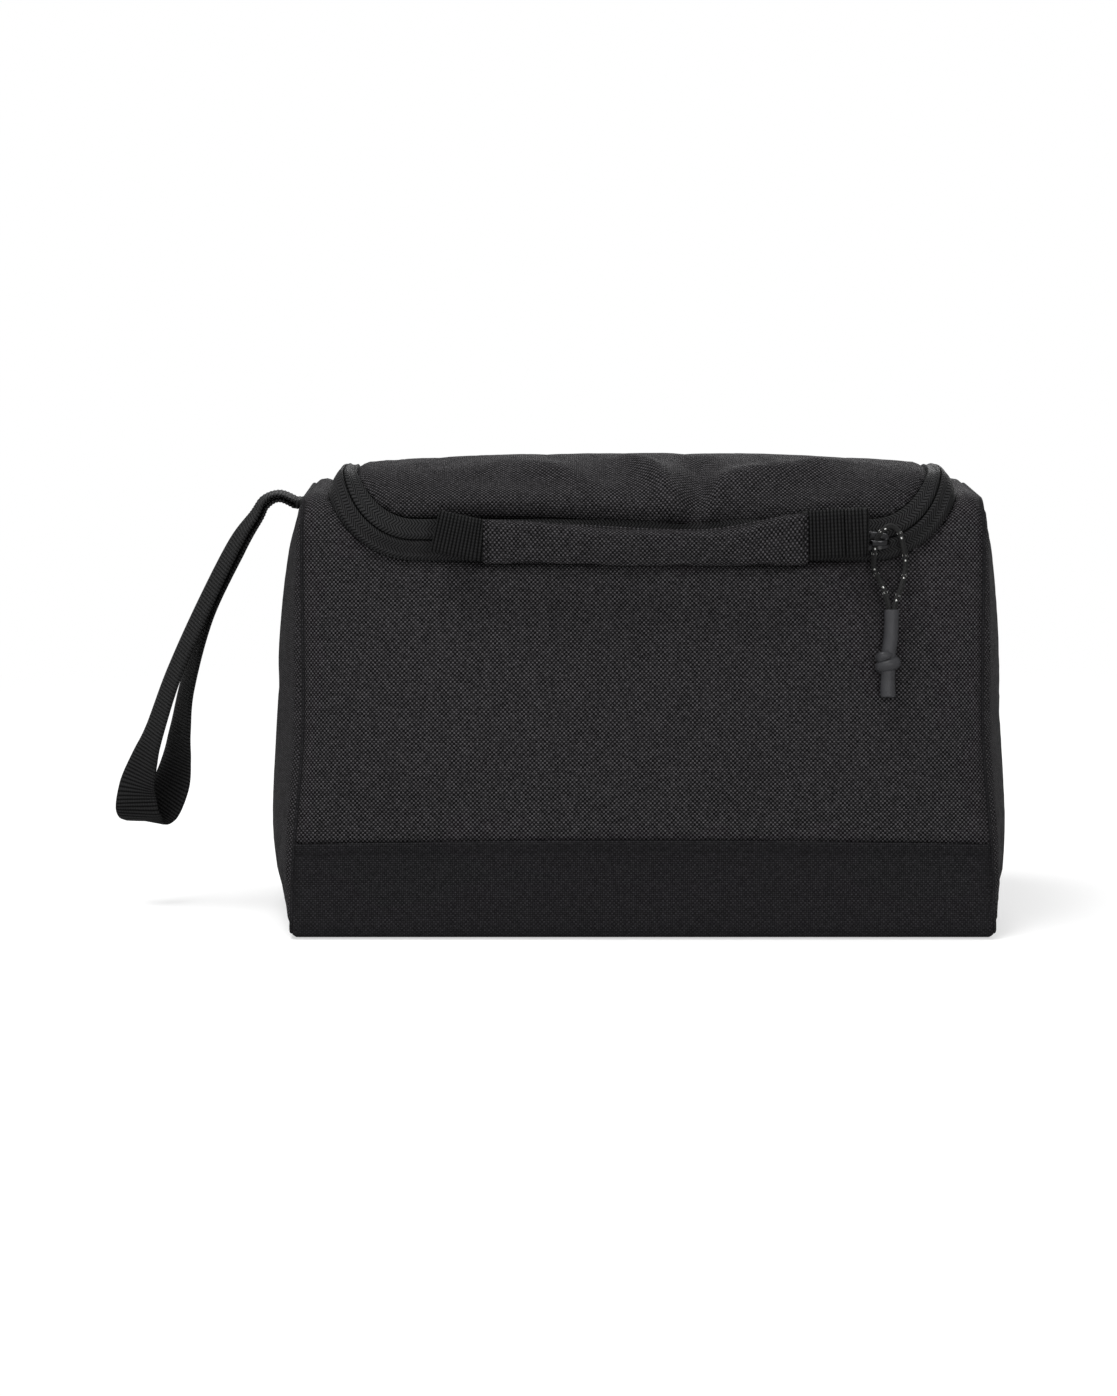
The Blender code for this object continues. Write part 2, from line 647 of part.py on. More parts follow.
# Pull cord: up through the bridge, round to the right and back down into the sleeve
STRAND = CORD_DIAMETER / 2 + SEAM_GAP / 2
CORD_W = PLATE_TOP + BRIDGE_ROOM / 2
cord_route = [
    on_front(SLEEVE_X - STRAND, SLEEVE_TOP - CORD_IN_SLEEVE, SLEEVE_OFF),
    on_front(SLEEVE_X - STRAND, SLEEVE_TOP + CORD_NECK, SLEEVE_OFF),
    on_front(SLIDER_X + CORD_SPREAD * 0.19, SLEEVE_TOP + SLEEVE_DROP * 0.30, SLEEVE_OFF),
    at_zip(SLIDER_X - CORD_SPREAD * 0.10, -CORD_LOW, CORD_W * 0.83),
    at_zip(SLIDER_X - CORD_SPREAD * 0.12, -CORD_LOW * 0.48, CORD_W),
    at_zip(SLIDER_X - CORD_SPREAD * 0.06, 0.0, CORD_W),
    at_zip(SLIDER_X + CORD_SPREAD * 0.11, CORD_ARCH * 0.60, CORD_W),
    at_zip(SLIDER_X + CORD_SPREAD * 0.44, CORD_ARCH, CORD_W),
    at_zip(SLIDER_X + CORD_SPREAD * 0.76, CORD_ARCH * 0.58, CORD_W),
    at_zip(SLIDER_X + CORD_SPREAD * 0.95, -CORD_LOW * 0.30, CORD_W),
    at_zip(SLIDER_X + CORD_SPREAD, -CORD_LOW, CORD_W * 0.94),
    on_front(SLIDER_X + CORD_SPREAD * 0.84, SLEEVE_TOP + SLEEVE_DROP * 0.34, SLEEVE_OFF),
    on_front(SLEEVE_X + STRAND, SLEEVE_TOP + CORD_NECK, SLEEVE_OFF),
    on_front(SLEEVE_X + STRAND, SLEEVE_TOP - CORD_IN_SLEEVE, SLEEVE_OFF),
]
PULL_ORIGIN = at_zip(SLIDER_X, 0, CORD_W)
curve = bpy.data.curves.new("pull_cord", "CURVE")
curve.dimensions = "3D"
curve.bevel_depth = CORD_DIAMETER / 2
curve.bevel_resolution = 2
curve.use_fill_caps = True
spline = curve.splines.new("POLY")
cord_points = smooth_route(cord_route, 4)
spline.points.add(len(cord_points) - 1)
for point, at in zip(spline.points, cord_points):
    point.co = (*(at - PULL_ORIGIN), 1.0)
curve.materials.append(CORD_BLACK)
cord = bpy.data.objects.new("pull_cord", curve)
cord.location = PULL_ORIGIN
bpy.context.scene.collection.objects.link(cord)

# Sleeve with its knot; the two cord ends sit in its bore
SLEEVE_SHAPE = ((0.0, 1.0), (0.46, 1.0), (0.50, 1.12), (0.55, 1.45), (0.62, 1.60), (0.69, 1.45),
                (0.74, 1.10), (0.79, 1.06), (1.0, 1.06))


def sleeve_ring(share, scale, wall):
    """Oval ring round the sleeve axis."""
    middle = on_front(SLEEVE_X, SLEEVE_TOP - SLEEVE_LENGTH * share, SLEEVE_OFF)
    out = section(find_s(SLEEVE_TOP - SLEEVE_LENGTH / 2, STARTS[2], S_TOP))[1]
    out = Vector((0, out.x, out.y))
    ring = []
    for k in range(12):
        turn = math.tau * k / 12
        across = (SLEEVE_WIDTH / 2 - wall) * scale * math.cos(turn)
        deep = (SLEEVE_DEPTH / 2 - wall) * scale * math.sin(turn)
        ring.append(middle + Vector((across, 0, 0)) + out * deep)
    return ring


bore_share = SLEEVE_BORE / SLEEVE_LENGTH
sleeve_rings = [sleeve_ring(bore_share, 1.0, SLEEVE_WALL), sleeve_ring(0.0, 1.0, SLEEVE_WALL)]
sleeve_rings += [sleeve_ring(share, scale, 0.0) for share, scale in SLEEVE_SHAPE]
add_object("pull_sleeve", ring_sweep(sleeve_rings), SLEEVE_GREY, PULL_ORIGIN, round_shade=True)

# Handle
HANDLE_LOW = HANDLE_TOP - HANDLE_WIDTH
STRAP_OUT = HANDLE_STAND_OFF + WEBBING
tab_mid = HANDLE_TOP - TAB_INSET - WEBBING / 2


def lid_front_offset(v):
    """How far out of the zip plane the lid skin lies at height v of the zip frame."""
    best = None
    for k in range(200):
        s = S_ZIP_LID + (S_TOP - S_ZIP_LID) * k / 200
        rel = wrap(0, s, lid_rise(0, s)) - ZIP_AT
        miss = abs(rel.dot(ZIP_UP) - v)
        if best is None or miss < best[0]:
            best = (miss, rel.dot(ZIP_OUT))
    return best[1]


TAB_ROOT = lid_front_offset(tab_mid - WEBBING / 2) + TAB_CLEARANCE
HANDLE_ORIGIN = at_zip(0, tab_mid, TAB_ROOT + WEBBING / 2)
handle_blocks = [block(HANDLE_LEFT, HANDLE_RIGHT, HANDLE_LOW, HANDLE_TOP, HANDLE_STAND_OFF,
                       STRAP_OUT)]
for tab_at in (HANDLE_LEFT + TAB_INSET, HANDLE_RIGHT - TAB_INSET - TAB_LENGTH):
    handle_blocks.append(block(tab_at, tab_at + TAB_LENGTH, tab_mid - WEBBING / 2,
                               tab_mid + WEBBING / 2, TAB_ROOT, HANDLE_STAND_OFF + JOIN))
handle_blocks.append(block(HANDLE_RIGHT - HANDLE_FOLD, HANDLE_RIGHT - TAB_INSET, HANDLE_LOW + TAB_INSET,
                           HANDLE_TOP - TAB_INSET, STRAP_OUT - JOIN, STRAP_OUT + WEBBING))
joined("handle_strap", handle_blocks, WEB_BLACK, HANDLE_ORIGIN, TAB_INSET / 3)


def grip_ring(u, grow):
    """Rounded oblong round the strap and its foam, grown outwards."""
    v_low = HANDLE_LOW - GAP - grow
    v_high = HANDLE_TOP + GAP + grow
    w_low = HANDLE_STAND_OFF - GAP - grow
    w_high = STRAP_OUT + GAP * 2 + GRIP_FOAM + grow
    radius = GAP + grow
    ring = []
    for v, w, quarter in ((v_high - radius, w_high - radius, 0), (v_low + radius, w_high - radius, 1),
                          (v_low + radius, w_low + radius, 2), (v_high - radius, w_low + radius, 3)):
        for k in range(4):
            turn = math.pi / 2 * (quarter + k / 3)
            ring.append(at_zip(u, v + radius * math.cos(turn), w + radius * math.sin(turn)))
    return ring


grip_rings = [grip_ring(GRIP_LEFT, GRIP_FABRIC), grip_ring(GRIP_RIGHT, GRIP_FABRIC),
              grip_ring(GRIP_RIGHT, 0.0), grip_ring(GRIP_LEFT, 0.0)]
add_object("handle_grip", ring_sweep(grip_rings, closed=True), OXFORD, HANDLE_ORIGIN)
foam_low = STRAP_OUT + GAP
joined("handle_padding", [block(GRIP_LEFT + GRIP_FOAM, GRIP_RIGHT - GRIP_FOAM, HANDLE_LOW + WEBBING,
                                HANDLE_TOP - WEBBING, foam_low, foam_low + GRIP_FOAM)],
       FOAM_GREY, HANDLE_ORIGIN, GAP)

# Hanging loop: shares of its reach, sway and fall from the sewn root, and its turn in degrees
LOOP_ROUTE = (
    (0.0, 0.0, 0.008, 0), (-0.103, 0.0, 0.029, 0), (-0.198, 0.0, 0.010, 4),
    (-0.262, 0.0, -0.040, 8), (-0.389, 0.0, -0.133, 14), (-0.603, -0.2, -0.337, 17),
    (-0.802, -0.4, -0.538, 15), (-0.919, -0.6, -0.715, 13), (-0.965, -0.7, -0.803, 24),
    (-1.0, -0.8, -0.892, 46), (-1.0, -1.0, -0.964, 62), (-0.960, -0.2, -1.0, 68),
    (-0.889, 0.6, -0.972, 66), (-0.794, 0.8, -0.892, 48), (-0.740, 0.8, -0.803, 26),
    (-0.713, 0.6, -0.715, 14), (-0.670, 0.6, -0.578, 15), (-0.552, 0.4, -0.353, 17),
    (-0.356, 0.0, -0.143, 14), (-0.232, 0.0, -0.046, 8), (-0.178, 0.0, -0.006, 4),
    (-0.098, 0.0, 0.012, 0), (0.0, 0.0, -0.009, 0),
)
LOOP_HEIGHT = BODY_HEIGHT - LOOP_ROOT_DROP
LOOP_SIDE = (HALF_W + SEAM_GAP + FABRIC) * narrow(LOOP_HEIGHT)
LOOP_ROOT = Vector((-LOOP_SIDE - LOOP_ROOT_GAP, 0, LOOP_HEIGHT))
loop_route = [LOOP_ROOT + Vector((x * LOOP_REACH, y * LOOP_SWAY, z * LOOP_FALL))
              for x, y, z, _ in LOOP_ROUTE]
loop_turns = [Vector((math.radians(turn), 0, 0)) for _, _, _, turn in LOOP_ROUTE]
loop_points = smooth_route(loop_route, 3)
loop_angles = smooth_route(loop_turns, 3)
loop_rings = []
for k, (at, angle) in enumerate(zip(loop_points, loop_angles)):
    way = (loop_points[min(k + 1, len(loop_points) - 1)] - loop_points[max(k - 1, 0)]).normalized()
    wide = Vector((math.sin(angle.x), -math.cos(angle.x), 0))
    wide = (wide - way * wide.dot(way)).normalized() * WEBBING_WIDTH / 2
    thick = way.cross(wide).normalized() * LOOP_THICK / 2
    loop_rings.append([at + wide + thick, at - wide + thick, at - wide - thick, at + wide - thick])
loop_mesh = ring_sweep(loop_rings)
bmesh.ops.triangulate(loop_mesh, faces=loop_mesh.faces[:])
add_object("hang_loop", loop_mesh, WEB_BLACK, LOOP_ROOT)
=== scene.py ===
"""Looks of the hanging toiletry bag: padded cloth skins, U-shaped zip, handle, pull and loop.

Metres, +Z up, the front faces -Y. Every sewn piece is a flat pattern in (x, s) laid on the same
padded block as the solids: x runs across the bag and s runs round its section, from the middle of
the base up the front, over the top and down the back.
"""
import logging
import math
from dataclasses import dataclass
from enum import Enum
from functools import cache, cached_property
from typing import Callable, Sequence, Union

import bmesh
import bpy
import numpy as np
from bpy.types import Material, Object
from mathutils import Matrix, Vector


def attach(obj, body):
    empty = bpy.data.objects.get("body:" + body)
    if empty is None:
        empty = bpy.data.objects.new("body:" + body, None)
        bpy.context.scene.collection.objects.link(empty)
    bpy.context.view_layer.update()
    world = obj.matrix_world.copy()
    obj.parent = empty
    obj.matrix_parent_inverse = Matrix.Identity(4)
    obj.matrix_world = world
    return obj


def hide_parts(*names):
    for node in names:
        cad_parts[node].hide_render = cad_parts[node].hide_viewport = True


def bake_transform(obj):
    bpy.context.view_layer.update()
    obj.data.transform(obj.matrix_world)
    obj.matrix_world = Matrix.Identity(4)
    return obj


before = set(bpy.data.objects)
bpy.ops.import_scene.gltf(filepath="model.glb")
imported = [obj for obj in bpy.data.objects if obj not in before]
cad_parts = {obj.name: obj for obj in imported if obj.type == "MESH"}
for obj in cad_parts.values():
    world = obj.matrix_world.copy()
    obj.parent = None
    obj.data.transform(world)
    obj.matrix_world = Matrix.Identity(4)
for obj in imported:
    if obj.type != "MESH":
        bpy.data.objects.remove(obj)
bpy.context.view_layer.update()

LOG = logging.getLogger("toiletry_bag")
Colour = tuple[float, float, float]
Flat = tuple[float, float]
Faces = list[list[int]]
Value = Union["Sock", float, tuple]


class Body(str, Enum):
    """Moving bodies that a piece can ride on."""

    BODY = "body"
    LID = "lid"
    HANDLE = "handle"
    SLIDER = "slider"
    PULL = "pull"
    LOOP = "loop"


class Shape(Enum):
    """Small shape that is repeated along a path."""

    STITCH = "stitch"
    COIL = "coil"


def ease(low: float, high: float, value: float) -> float:
    """Smooth share from 0 at the low value to 1 at the high one."""
    t = min(1.0, max(0.0, (value - low) / (high - low)))
    return t * t * (3 - 2 * t)


def fading(away: np.ndarray, near: float, far: float) -> np.ndarray:
    """1 within the near distance, easing to 0 at the far one."""
    return np.array([1 - ease(near, far, float(d)) for d in away])


def boxed(value: float, power: float) -> float:
    """Cosine or sine drawn out towards a square."""
    return math.copysign(abs(value) ** power, value)


def turns(count: int) -> list[Flat]:
    """Cosine and sine of equal turns round a ring."""
    return [(math.cos(math.tau * k / count), math.sin(math.tau * k / count)) for k in range(count)]


def operator(operation: str, swap: bool = False) -> Callable[..., "Sock"]:
    """Python operator that adds one Math node."""
    return lambda self, other=0.0: self.maths(operation, other, swap)


class Sock:
    """Shader socket that can be written into Python sums."""

    def __init__(self, kit: "NodeKit", socket: bpy.types.NodeSocket) -> None:
        """Keep the socket and the tree it belongs to."""
        self.kit = kit
        self.socket = socket

    def maths(self, operation: str, other: Value = 0.0, swap: bool = False) -> "Sock":
        """Add one Math node; swap puts this socket second."""
        pair = {0: other, 1: self} if swap else {0: self, 1: other}
        return self.kit.node("ShaderNodeMath", {"operation": operation}, pair)

    __add__ = __radd__ = operator("ADD")
    __mul__ = __rmul__ = operator("MULTIPLY")
    __sub__, __rsub__ = operator("SUBTRACT"), operator("SUBTRACT", swap=True)
    __truediv__, __rtruediv__ = operator("DIVIDE"), operator("DIVIDE", swap=True)
    __lt__ = operator("LESS_THAN")
    __abs__ = operator("ABSOLUTE")
    __floor__ = operator("FLOOR")
    part = property(operator("FRACT"))

    @property
    def hump(self) -> "Sock":
        """Thread profile: 1 in the middle of each whole step and 0 at its ends."""
        return (self.part * math.pi).maths("SINE")


class NodeKit:
    """Node tree of one material or world."""

    def __init__(self, owner: bpy.types.ID, shader: str = "Principled BSDF") -> None:
        """Take over the owner's tree with its shader node."""
        owner.use_nodes = True
        self.owner = owner
        self.tree = owner.node_tree
        self.shader = self.tree.nodes[shader]

    def feed(self, inputs: bpy.types.NodeInputs, values: dict) -> None:
        """Link or set inputs."""
        for key, value in values.items():
            if isinstance(value, Sock):
                self.tree.links.new(value.socket, inputs[key])
            else:
                inputs[key].default_value = value

    def node(self, kind: str, settings: dict | None = None, values: dict | None = None,
             out: int = 0) -> Sock:
        """Add a node of any type.

        Args:
            kind: the node's type.
            settings: its properties, set first.
            values: numbers, colours or sockets for its inputs.
            out: which output to return.

        Returns:
            The wrapped output socket.
        """
        made = self.tree.nodes.new(kind)
        for key, value in (settings or {}).items():
            setattr(made, key, value)
        self.feed(made.inputs, values or {})
        return Sock(self, made.outputs[out])

    def ramp(self, factor: Sock, low: float, high: float) -> Sock:
        """Black below one value, white above the other."""
        found = self.node("ShaderNodeValToRGB", None, {0: factor})
        for stop, place, tone in zip(found.socket.node.color_ramp.elements, (low, high), (0.0, 1.0)):
            stop.position = place
            stop.color = (tone, tone, tone, 1.0)
        return found

    def mix(self, factor: Value, first: Value, second: Value) -> Sock:
        """Mix two colours."""
        tones = [(*c, 1.0) if isinstance(c, tuple) else c for c in (first, second)]
        return self.node("ShaderNodeMix", {"data_type": "RGBA"},
                         {0: factor, 6: tones[0], 7: tones[1]}, out=2)

    def shaded(self, tone: Value, shade: Sock) -> Sock:
        """Colour times a grey factor; the cloth finishes use it to paint shade into their colour."""
        grey = self.node("ShaderNodeCombineXYZ", None, {0: shade, 1: shade, 2: shade})
        return self.node("ShaderNodeVectorMath", {"operation": "MULTIPLY"}, {0: tone, 1: grey})

    def cloth_uv(self) -> tuple[Sock, Sock]:
        """Pattern coordinates of a sewn piece, in metres."""
        found = self.node("ShaderNodeUVMap", {"uv_map": "cloth"})
        split = self.node("ShaderNodeSeparateXYZ", None, {0: found})
        return split, Sock(self, split.socket.node.outputs[1])

    @property
    def place(self) -> Sock:
        """Place of a point in its object."""
        return self.node("ShaderNodeTexCoord", out=3)

    @property
    def in_sight(self) -> Sock:
        """1 for what the camera sees, also in a mirror or through glass."""
        path = self.tree.nodes.new("ShaderNodeLightPath")
        found, *others = (Sock(self, path.outputs[f"Is {ray} Ray"])
                          for ray in ("Camera", "Glossy", "Transmission"))
        for other in others:
            found = found.maths("MAXIMUM", other)
        return found

    def noise(self, scale: float, detail: float = 2.0, rough: float = 0.5) -> Sock:
        """Noise on the piece's own place in the object, from 0 to 1."""
        return self.node("ShaderNodeTexNoise", None, {"Vector": self.place, "Scale": scale,
                                                      "Detail": detail, "Roughness": rough})

    def dress(self, colour: Value, rough: Value, height: Value | None = None, depth: float = 0.0,
              **fixed: Value) -> Material:
        """Feed the shader.

        Args:
            colour: base colour.
            rough: roughness.
            height: bump height, if there is one.
            depth: real depth of the bump in metres.
            fixed: values of other sockets, with _ for a space.

        Returns:
            The finished material.
        """
        feeds: dict[str, Value] = {"Base Color": colour, "Roughness": rough}
        if height is not None:
            feeds["Normal"] = self.node("ShaderNodeBump", None,
                                        {"Strength": 1.0, "Distance": depth, "Height": height})
        self.feed(self.shader.inputs, feeds | {key.replace("_", " "): v for key, v in fixed.items()})
        return self.owner


def tinted(tone: Colour, share: float) -> Colour:
    """Colour made darker or paler."""
    return tuple(c * share for c in tone)


@dataclass(frozen=True)
class Finish:
    """Base of the finishes."""

    name: str
    tone: Colour

    def fill(self, kit: NodeKit) -> Material:
        """Build the material in a node kit."""
        raise NotImplementedError


@dataclass(frozen=True)
class WovenCloth(Finish):
    """Two-tone plain weave with a soft sheen and painted shade in the gaps between threads; tone is the
    warp's colour.
    """

    weft: Colour
    pitch: float = 0.00080
    rough: float = 0.82
    relief: float = 0.00022
    gloss: float = 0.02
    worn: float = 0.16
    waver: float = 0.25

    def fill(self, kit: NodeKit) -> Material:
        """Build the material."""
        u, v = kit.cloth_uv()
        waver = kit.noise(900.0, 1.0) - 0.5
        a, b = (w * (1 / self.pitch) + waver * self.waver for w in (u, v))
        over = ((math.floor(a) + math.floor(b)) * 0.5).part * 2.0
        along_a, along_b = a.hump, b.hump
        warp_high = along_a * (along_b * 0.5 + 0.5)
        weft_high = along_b * (along_a * 0.5 + 0.5)
        height = warp_high + (weft_high - warp_high) * over
        cell = kit.node("ShaderNodeCombineXYZ", None, {0: math.floor(a), 1: math.floor(b)})
        fleck = kit.node("ShaderNodeTexWhiteNoise", {"noise_dimensions": "2D"}, {"Vector": cell})
        broad = kit.noise(26.0, 3.0, 0.6)
        tone = kit.mix(over * 0.85 + fleck * 0.15, self.tone, self.weft)
        # shade darkens the colour where the threads dip (height): painted shade in the weave's gaps; fleck
        # and broad add random tone of threads and patches.
        shade = (height * 1.1 + 0.30) * (broad * self.worn + (1 - self.worn / 2)) * (fleck * 0.4 + 0.80)
        rough = self.rough + 0.12 * (broad - 0.5) - 0.08 * height
        return kit.dress(kit.shaded(tone, shade), rough, height, self.relief, Specular_IOR_Level=self.gloss)


@dataclass(frozen=True)
class RibbedWebbing(Finish):
    """Narrow woven band: fine cross ribs with a slanted thread pattern, and painted shade in the grooves
    between ribs and rows.
    """

    thread: float = 0.00055
    rib: float = 0.00135
    row: float = 0.0012
    rough: float = 0.62
    relief: float = 0.00048

    def fill(self, kit: NodeKit) -> Material:
        """Build the material."""
        u, v = kit.cloth_uv()
        slant = (u * (1 / self.thread) + v * (1 / self.thread) * 0.5).hump
        ribs = (u * (1 / self.rib) + 0.5).hump
        rows = (v * (1 / self.row)).hump
        height = ribs * 0.6 + rows * 0.25 + slant * 0.15
        broad = kit.noise(60.0, 3.0)
        # shade is near black between the ribs and darker between rows, in step with the bump: painted shade
        # in the grooves; broad adds random tone.
        shade = (ribs * 2.7 + 0.005) * (rows * 0.5 + 0.6) * (slant * 0.3 + 0.75) * (broad * 0.4 + 0.8)
        return kit.dress(kit.shaded(self.tone, shade), self.rough + 0.15 * (broad - 0.5), height,
                         self.relief, Specular_IOR_Level=0.02)


@dataclass(frozen=True)
class HerringboneTape(Finish):
    """Zip tape woven in rows of slanted ribs that turn at each row, with painted shade between the ribs."""

    rib: float = 0.0013
    row: float = 0.0036
    thread: float = 0.0005
    relief: float = 0.00030

    def fill(self, kit: NodeKit) -> Material:
        """Build the material."""
        u, v = kit.cloth_uv()
        turn = abs((v * (1 / self.row)).part - 0.5)
        ribs = (u * (1 / self.rib) + turn * (self.row / self.rib)).hump
        threads = (v * (1 / self.thread)).hump
        # shade is near black between the ribs, in step with the bump: painted shade in the grooves; the
        # noise adds random tone.
        shade = (ribs * 2.3 + 0.02) * (threads * 0.3 + 0.8) * (kit.noise(70.0, 2.0) * 0.4 + 0.8)
        return kit.dress(kit.shaded(self.tone, shade), 0.70 - 0.15 * ribs, ribs * 0.75 + threads * 0.25,
                         self.relief, Specular_IOR_Level=0.02)


@dataclass(frozen=True)
class CellFoam(Finish):
    """Open-cell padding foam, darker towards the cell edges where its bump is low: painted shade."""

    cells: float = 1400.0

    def fill(self, kit: NodeKit) -> Material:
        """Build the material."""
        cells = kit.node("ShaderNodeTexVoronoi", None, {"Vector": kit.place, "Scale": self.cells})
        # The colour darkens towards the cell edges, where the bump is low: painted shade; the noise adds
        # random tone.
        colour = kit.mix(cells * 0.9 + kit.noise(40.0, 3.0) * 0.2, self.tone, tinted(self.tone, 0.45))
        return kit.dress(colour, 0.95 - 0.05 * cells, 1.0 - cells, 0.0003)


@dataclass(frozen=True)
class FibreBoard(Finish):
    """Grey pressed board that stiffens the base."""

    def fill(self, kit: NodeKit) -> Material:
        """Build the material."""
        drawn = kit.node("ShaderNodeMapping", None, {"Vector": kit.place, "Scale": (1.0, 14.0, 14.0)})
        fibre = kit.node("ShaderNodeTexNoise", None, {"Vector": drawn, "Scale": 260.0, "Detail": 4.0})
        colour = kit.mix(fibre, self.tone, tinted(self.tone, 1.5))
        return kit.dress(colour, 0.72 + 0.2 * fibre, fibre, 0.0001)


@dataclass(frozen=True)
class DarkMetal(Finish):
    """Die-cast slider with dark lacquer, a little worn."""

    bare: Colour

    def fill(self, kit: NodeKit) -> Material:
        """Build the material."""
        fine = kit.noise(1400.0, 3.0, 0.6)
        worn = kit.ramp(kit.noise(260.0, 4.0, 0.6), 0.58, 0.72)
        colour = kit.mix(worn * 0.6, self.tone, self.bare)
        return kit.dress(colour, 0.13 + 0.10 * fine, fine, 0.00004, Metallic=0.9)


@dataclass(frozen=True)
class BraidedCord(Finish):
    """Round braid with pairs of pale tracer threads and painted shade where its strands dip."""

    tracer: Colour
    pick: float = 0.00085
    repeat: float = 0.0088
    speck: float = 0.040
    lanes: float = 2.0
    lane: float = 0.11

    def fill(self, kit: NodeKit) -> Material:
        """Build the material."""
        along, around = kit.cloth_uv()
        turn = around * 8.0
        rise = along * (1 / self.pick)
        one, two = rise + turn, rise - turn
        over = ((math.floor(one) + math.floor(two)) * 0.5).part * 2.0
        height = one.hump * over + two.hump * (1.0 - over)
        step = (along * (1 / self.repeat)).part
        near, far = (abs(step - place) < self.speck for place in (0.30, 0.52))
        lane, other = (abs((around * self.lanes + shift).part - 0.5) < self.lane for shift in (0.0, 0.5))
        mask = near * lane + far * other
        # Between the tracers the colour darkens where the strands dip (height): painted shade; the pale
        # tracer specks are the cord's own pattern.
        colour = kit.mix(mask, kit.mix(height, tinted(self.tone, 0.4), self.tone), self.tracer)
        return kit.dress(colour, 0.72 - 0.25 * mask, height, 0.00016, Specular_IOR_Level=0.15)


@dataclass(frozen=True)
class SoftRubber(Finish):
    """Matt moulded rubber with fine tool marks."""

    def fill(self, kit: NodeKit) -> Material:
        """Build the material."""
        broad = kit.noise(240.0, 4.0, 0.6)
        colour = kit.mix(broad, tinted(self.tone, 0.8), tinted(self.tone, 1.5))
        height = kit.noise(2600.0, 2.0) * 0.5 + broad
        return kit.dress(colour, 0.34 + 0.20 * broad, height, 0.00012, Specular_IOR_Level=0.14)


@dataclass(frozen=True)
class Nylon(Finish):
    """Smooth black nylon of the zip coil and of sewing thread."""

    rough: float = 0.42

    def fill(self, kit: NodeKit) -> Material:
        """Build the material."""
        twist = kit.noise(2200.0, 1.0)
        colour = kit.mix(twist, tinted(self.tone, 0.6), tinted(self.tone, 1.4))
        return kit.dress(colour, self.rough + 0.2 * (twist - 0.5), twist, 0.00005, Specular_IOR_Level=0.06)


@dataclass(frozen=True)
class PocketNet(Finish):
    """Knitted net with round holes, painted darker towards the holes' edges: painted shade."""

    hole: float = 0.0019

    def fill(self, kit: NodeKit) -> Material:
        """Build the material."""
        u, v = kit.cloth_uv()
        row = v * (1 / (self.hole * 0.866))
        shift = (math.floor(row) * 0.5).part
        across = (u * (1 / self.hole) + shift).part - 0.5
        up = row.part - 0.5
        away = across * across + up * up
        height = away.maths("MINIMUM", 0.25) * 4.0
        # The colour darkens towards each hole as the bump falls: painted shade.
        colour = kit.mix(height, tinted(self.tone, 0.5), tinted(self.tone, 1.6))
        return kit.dress(colour, 0.80 - 0.15 * height, height, 0.0002, Alpha=1.0 - (away < 0.085))


OUTER = WovenCloth("outer_oxford", (0.0028, 0.0027, 0.0029), (0.0395, 0.0378, 0.0400))
BAND = WovenCloth("base_oxford", (0.0076, 0.0074, 0.0080), (0.0145, 0.0141, 0.0152), relief=0.00010)
LINING = WovenCloth("lining_taffeta", (0.070, 0.070, 0.075), (0.085, 0.085, 0.090), pitch=0.0003,
                    rough=0.55, relief=0.00004, gloss=0.2)
WEBBING = RibbedWebbing("webbing_black", (0.0056, 0.0056, 0.0057))
BINDING = RibbedWebbing("binding_black", (0.0090, 0.0090, 0.0092), thread=0.0004)
TAPE = HerringboneTape("zip_tape_black", (0.0088, 0.0088, 0.0090))
COIL = Nylon("zip_coil_black", (0.010, 0.010, 0.010))
THREAD = Nylon("thread_black", (0.0045, 0.0045, 0.0045), rough=0.60)
FOAM = CellFoam("padding_foam", (0.30, 0.30, 0.31))
BOARD = FibreBoard("base_board_grey", (0.12, 0.12, 0.118))
METAL = DarkMetal("slider_lacquer", (0.018, 0.018, 0.019), (0.14, 0.14, 0.14))
CORD = BraidedCord("cord_braid", (0.014, 0.014, 0.014), (0.72, 0.72, 0.70))
RUBBER = SoftRubber("sleeve_rubber_grey", (0.0195, 0.0195, 0.0212))
NET = PocketNet("pocket_net", (0.025, 0.025, 0.026))


@cache
def paint(finish: Finish) -> Material:
    """Material of a finish, made once."""
    return finish.fill(NodeKit(bpy.data.materials.new(finish.name)))


FRONT, TOP, BACK = 2, 4, 6      # places of the straight runs in the section
SIDES = (("left", -1), ("right", 1))


